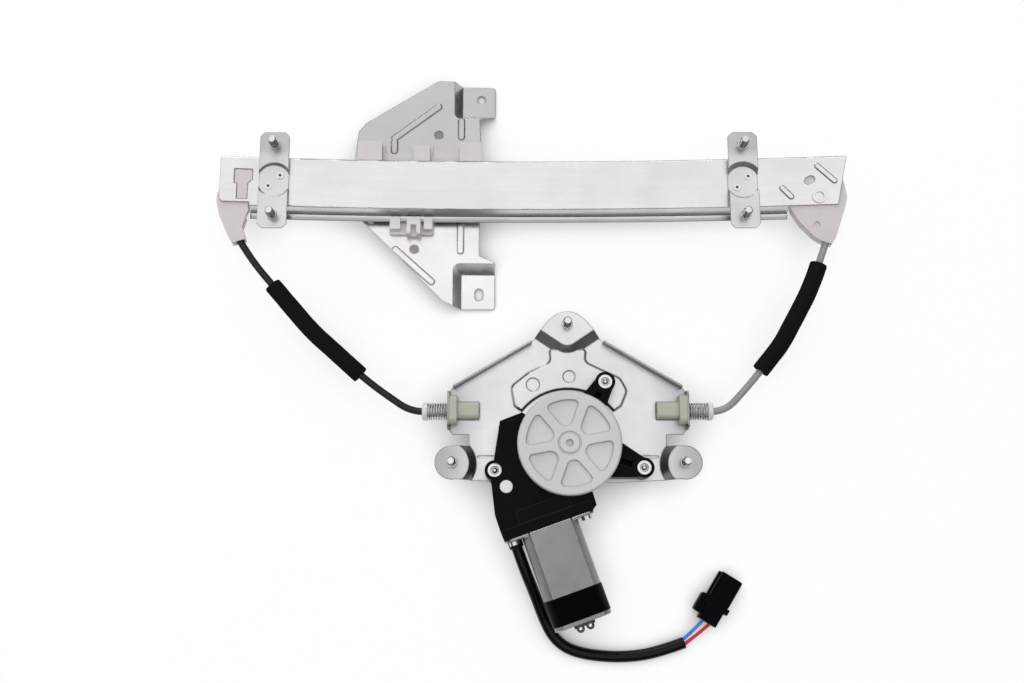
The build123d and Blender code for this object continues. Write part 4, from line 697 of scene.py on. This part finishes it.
def makeStud(sheet):
    foot = stud["collarHeight"] + stud["firstRow"]
    rows = round((stud["length"] - foot) * stud["rowsPerTurn"] / stud["pitch"])
    step = (stud["length"] - foot) / rows
    shank = [(stud["radius"], foot + step * k) for k in range(rows + 1)]
    piece = turnPiece("stud", studProfile(sheet) + shank, stud["sides"])
    cutThread(piece)
    return piece


def placeCopies(source, name, spots, look, node):
    # joins copies of a turned shape into one piece, which stands for the CAD node if one is given
    copies = []
    for spot in spots:
        bpy.ops.object.select_all(action="DESELECT")
        source.select_set(True)
        bpy.context.view_layer.objects.active = source
        bpy.ops.object.duplicate(linked=False)
        twin = bpy.context.object
        twin.location = Vector(spot) * mm
        bpy.ops.object.transform_apply(location=True)
        copies.append(twin)
    bpy.ops.object.select_all(action="DESELECT")
    for twin in copies:
        twin.select_set(True)
    bpy.context.view_layer.objects.active = copies[0]
    bpy.ops.object.join()
    whole = bpy.context.object
    whole.name = name
    whole.data.materials.clear()
    whole.data.materials.append(look)
    bpy.ops.object.shade_smooth_by_angle(angle=math.radians(stud["smooth"]))
    bpy.ops.object.select_all(action="DESELECT")
    bpy.data.objects.remove(source)
    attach(whole, "frame")
    if node:
        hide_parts(node)


for which in ("strap", "plate"):
    placeCopies(makeStud(stud[which + "Sheet"]), which + "Studs", stud[which + "Spots"],
                looks["brightSteel"], which + "_studs")
print("studs are threaded")


# cores of the small rivets, dark rings in painted shade with a bright nib, set into the CAD rivets' bores
core = {
    "profile": [(0.85, -1.6), (0.97, -1.5), (0.97, -0.45), (0.90, -0.40),
                (0.55, -0.40), (0.50, -0.15), (0.38, -0.08)],
    "offset": 3.9, "straps": (-177.5, 146.3), "line": 109.3, "sides": 28, "near": 3,
}


def rivetTop(x, y):
    # height of the CAD rivet's face round this place
    points = [vertex.co for vertex in nodes["strap_rivets"].data.vertices]
    near = core["near"] * mm
    return max(point.z for point in points if math.hypot(point.x - x * mm, point.y - y * mm) < near) / mm


coreSpots = [(x + side * core["offset"], core["line"] + side * core["offset"])
             for x in core["straps"] for side in (-1, 1)]
placeCopies(turnPiece("core", core["profile"], core["sides"]), "rivetCores",
            [(x, y, rivetTop(x, y)) for x, y in coreSpots], looks["rivetShade"], None)
print("rivets have their cores")


# tensioner springs, with their end turns closed up
spring = {
    "middle": 24.3, "line": (-48.4, 17.0), "start": 81.6, "length": 12.8,
    "radius": 5.45, "wire": 0.55, "turns": 8, "closed": 1.18, "points": 14,
}


def springPoints(side):
    turns, closed = spring["turns"], spring["closed"]
    loose = (spring["length"] - 2 * closed) / (turns - 2)
    wide = spring["radius"] / math.cos(math.pi / spring["points"])       # the curve runs inside its points
    points = []
    for k in range(turns * spring["points"] + 1):
        turn = k / spring["points"]
        ends = min(turn, 1) + max(turn - turns + 1, 0)
        along = closed * ends + loose * min(max(turn - 1, 0), turns - 2)
        angle = math.tau * turn
        points.append((spring["middle"] + side * (spring["start"] + along),
                       spring["line"][0] + wide * math.cos(angle),
                       spring["line"][1] + wide * math.sin(angle)))
    return points


for side, hand in ((-1, "left"), (1, "right")):
    points = springPoints(side)
    coil = layCord(hand + "Spring", points, spring["wire"], looks["springSteel"], fine=3, around=3)
    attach(coil, "frame")
    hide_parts(hand + "_tension_spring")
print("springs are wound")


# foam sleeves on the two conduits
foam = {
    "radius": 5.9, "hole": 2.75, "rounding": 0.7, "stations": 220, "around": 56, "holeStep": 9,
    "wrap": 6, "lumps": 0.10, "lumpScale": 0.11, "cells": 0.09, "cellScale": 1.3,    # its uneven skin
    "smooth": 50, "fill": 0.9,
    "left": [(-177.0, 37.1, 29.2), (-163.0, 21.0, 27.4), (-150.0, 6.0, 25.7), (-136.0, -6.4, 23.9),
             (-116.0, -24.18, 21.37)],
    "right": [(196.4, 51.1, 31.5), (190.41, 34.69, 30.92), (179.0, 13.6, 27.7), (170.0, -3.0, 25.2),
              (162.0, -12.9, 23.6), (155.15, -21.48, 22.16)],
}


def smoothLine(points, count):
    # evenly spaced places along the smooth spline through the route
    guide = layCord("guide", points, 0.0, looks["foam"], fine=24)
    bpy.context.view_layer.update()
    raw = bpy.data.meshes.new_from_object(guide.evaluated_get(bpy.context.evaluated_depsgraph_get()))
    line = [vertex.co.copy() for vertex in raw.vertices]
    bpy.data.objects.remove(guide)
    bpy.data.meshes.remove(raw)
    lengths = [0.0]
    for a, b in zip(line, line[1:]):
        lengths.append(lengths[-1] + (b - a).length)
    spots, k = [], 0
    for n in range(count):
        want = lengths[-1] * n / (count - 1)
        while k < len(line) - 2 and lengths[k + 1] < want:
            k += 1
        share = (want - lengths[k]) / (lengths[k + 1] - lengths[k])
        spots.append(line[k].lerp(line[k + 1], share))
    return spots, lengths[-1]


def foamSkin(along, angle, length):
    # outer radius in millimetres, lumpy and open-celled, and rounded at both ends
    place = Vector((along / mm, foam["wrap"] * math.cos(angle), foam["wrap"] * math.sin(angle)))
    lump = foam["lumps"] * noise.noise(place * foam["lumpScale"])
    cell = foam["cells"] * noise.noise(place * foam["cellScale"])
    end = min(along, length - along) / mm
    drop = foam["rounding"] - end
    rounded = drop ** 2 / (2 * foam["rounding"]) if drop > 0 else 0
    return foam["radius"] + lump + cell - rounded


def foamStations(centres):
    # each place with two directions across the sleeve, carried along it without a twist
    last = len(centres) - 1
    side = Vector((0, 0, 1))
    stations = []
    for k, centre in enumerate(centres):
        ahead = (centres[min(k + 1, last)] - centres[max(k - 1, 0)]).normalized()
        side = (side - ahead * side.dot(ahead)).normalized()
        stations.append((centre, side, ahead.cross(side)))
    return stations


def foamRing(station, radiusAt):
    centre, one, two = station
    angles = [math.tau * n / foam["around"] for n in range(foam["around"])]
    return [centre + (one * math.cos(a) + two * math.sin(a)) * radiusAt(a) * mm for a in angles]


def foamFaces(count):
    # joins each ring to the next one, and the last to the first
    around = foam["around"]
    faces = []
    for k in range(count):
        here, there = k * around, (k + 1) % count * around
        for n in range(around):
            after = (n + 1) % around
            faces.append((here + n, here + after, there + after, there + n))
    return faces


def makeFoam(hand):
    centres, length = smoothLine(foam[hand], foam["stations"])
    stations = foamStations(centres)
    last = len(stations) - 1
    rings = [foamRing(station, lambda a: foamSkin(length * k / last, a, length))
             for k, station in enumerate(stations)]
    hollow = [*stations[::-foam["holeStep"]], stations[0]]       # back through the hole to the first end
    rings += [foamRing(station, lambda a: foam["hole"]) for station in hollow]
    verts = [spot for ring in rings for spot in ring]
    data = bpy.data.meshes.new(hand + "Foam")
    data.from_pydata(verts, [], foamFaces(len(rings)))
    data.materials.append(looks["foam"])
    piece = bpy.data.objects.new(hand + "Foam", data)
    bpy.context.scene.collection.objects.link(piece)
    bpy.context.view_layer.objects.active = piece
    piece.select_set(True)
    bpy.ops.object.mode_set(mode="EDIT")
    bpy.ops.mesh.select_all(action="SELECT")
    bpy.ops.mesh.normals_make_consistent(inside=False)
    bpy.ops.object.mode_set(mode="OBJECT")
    bpy.ops.object.shade_smooth_by_angle(angle=math.radians(foam["smooth"]))
    piece.select_set(False)
    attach(piece, "frame")
    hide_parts(hand + "_foam_sleeve")


for hand in ("left", "right"):
    makeFoam(hand)
print("foam sleeves are on")
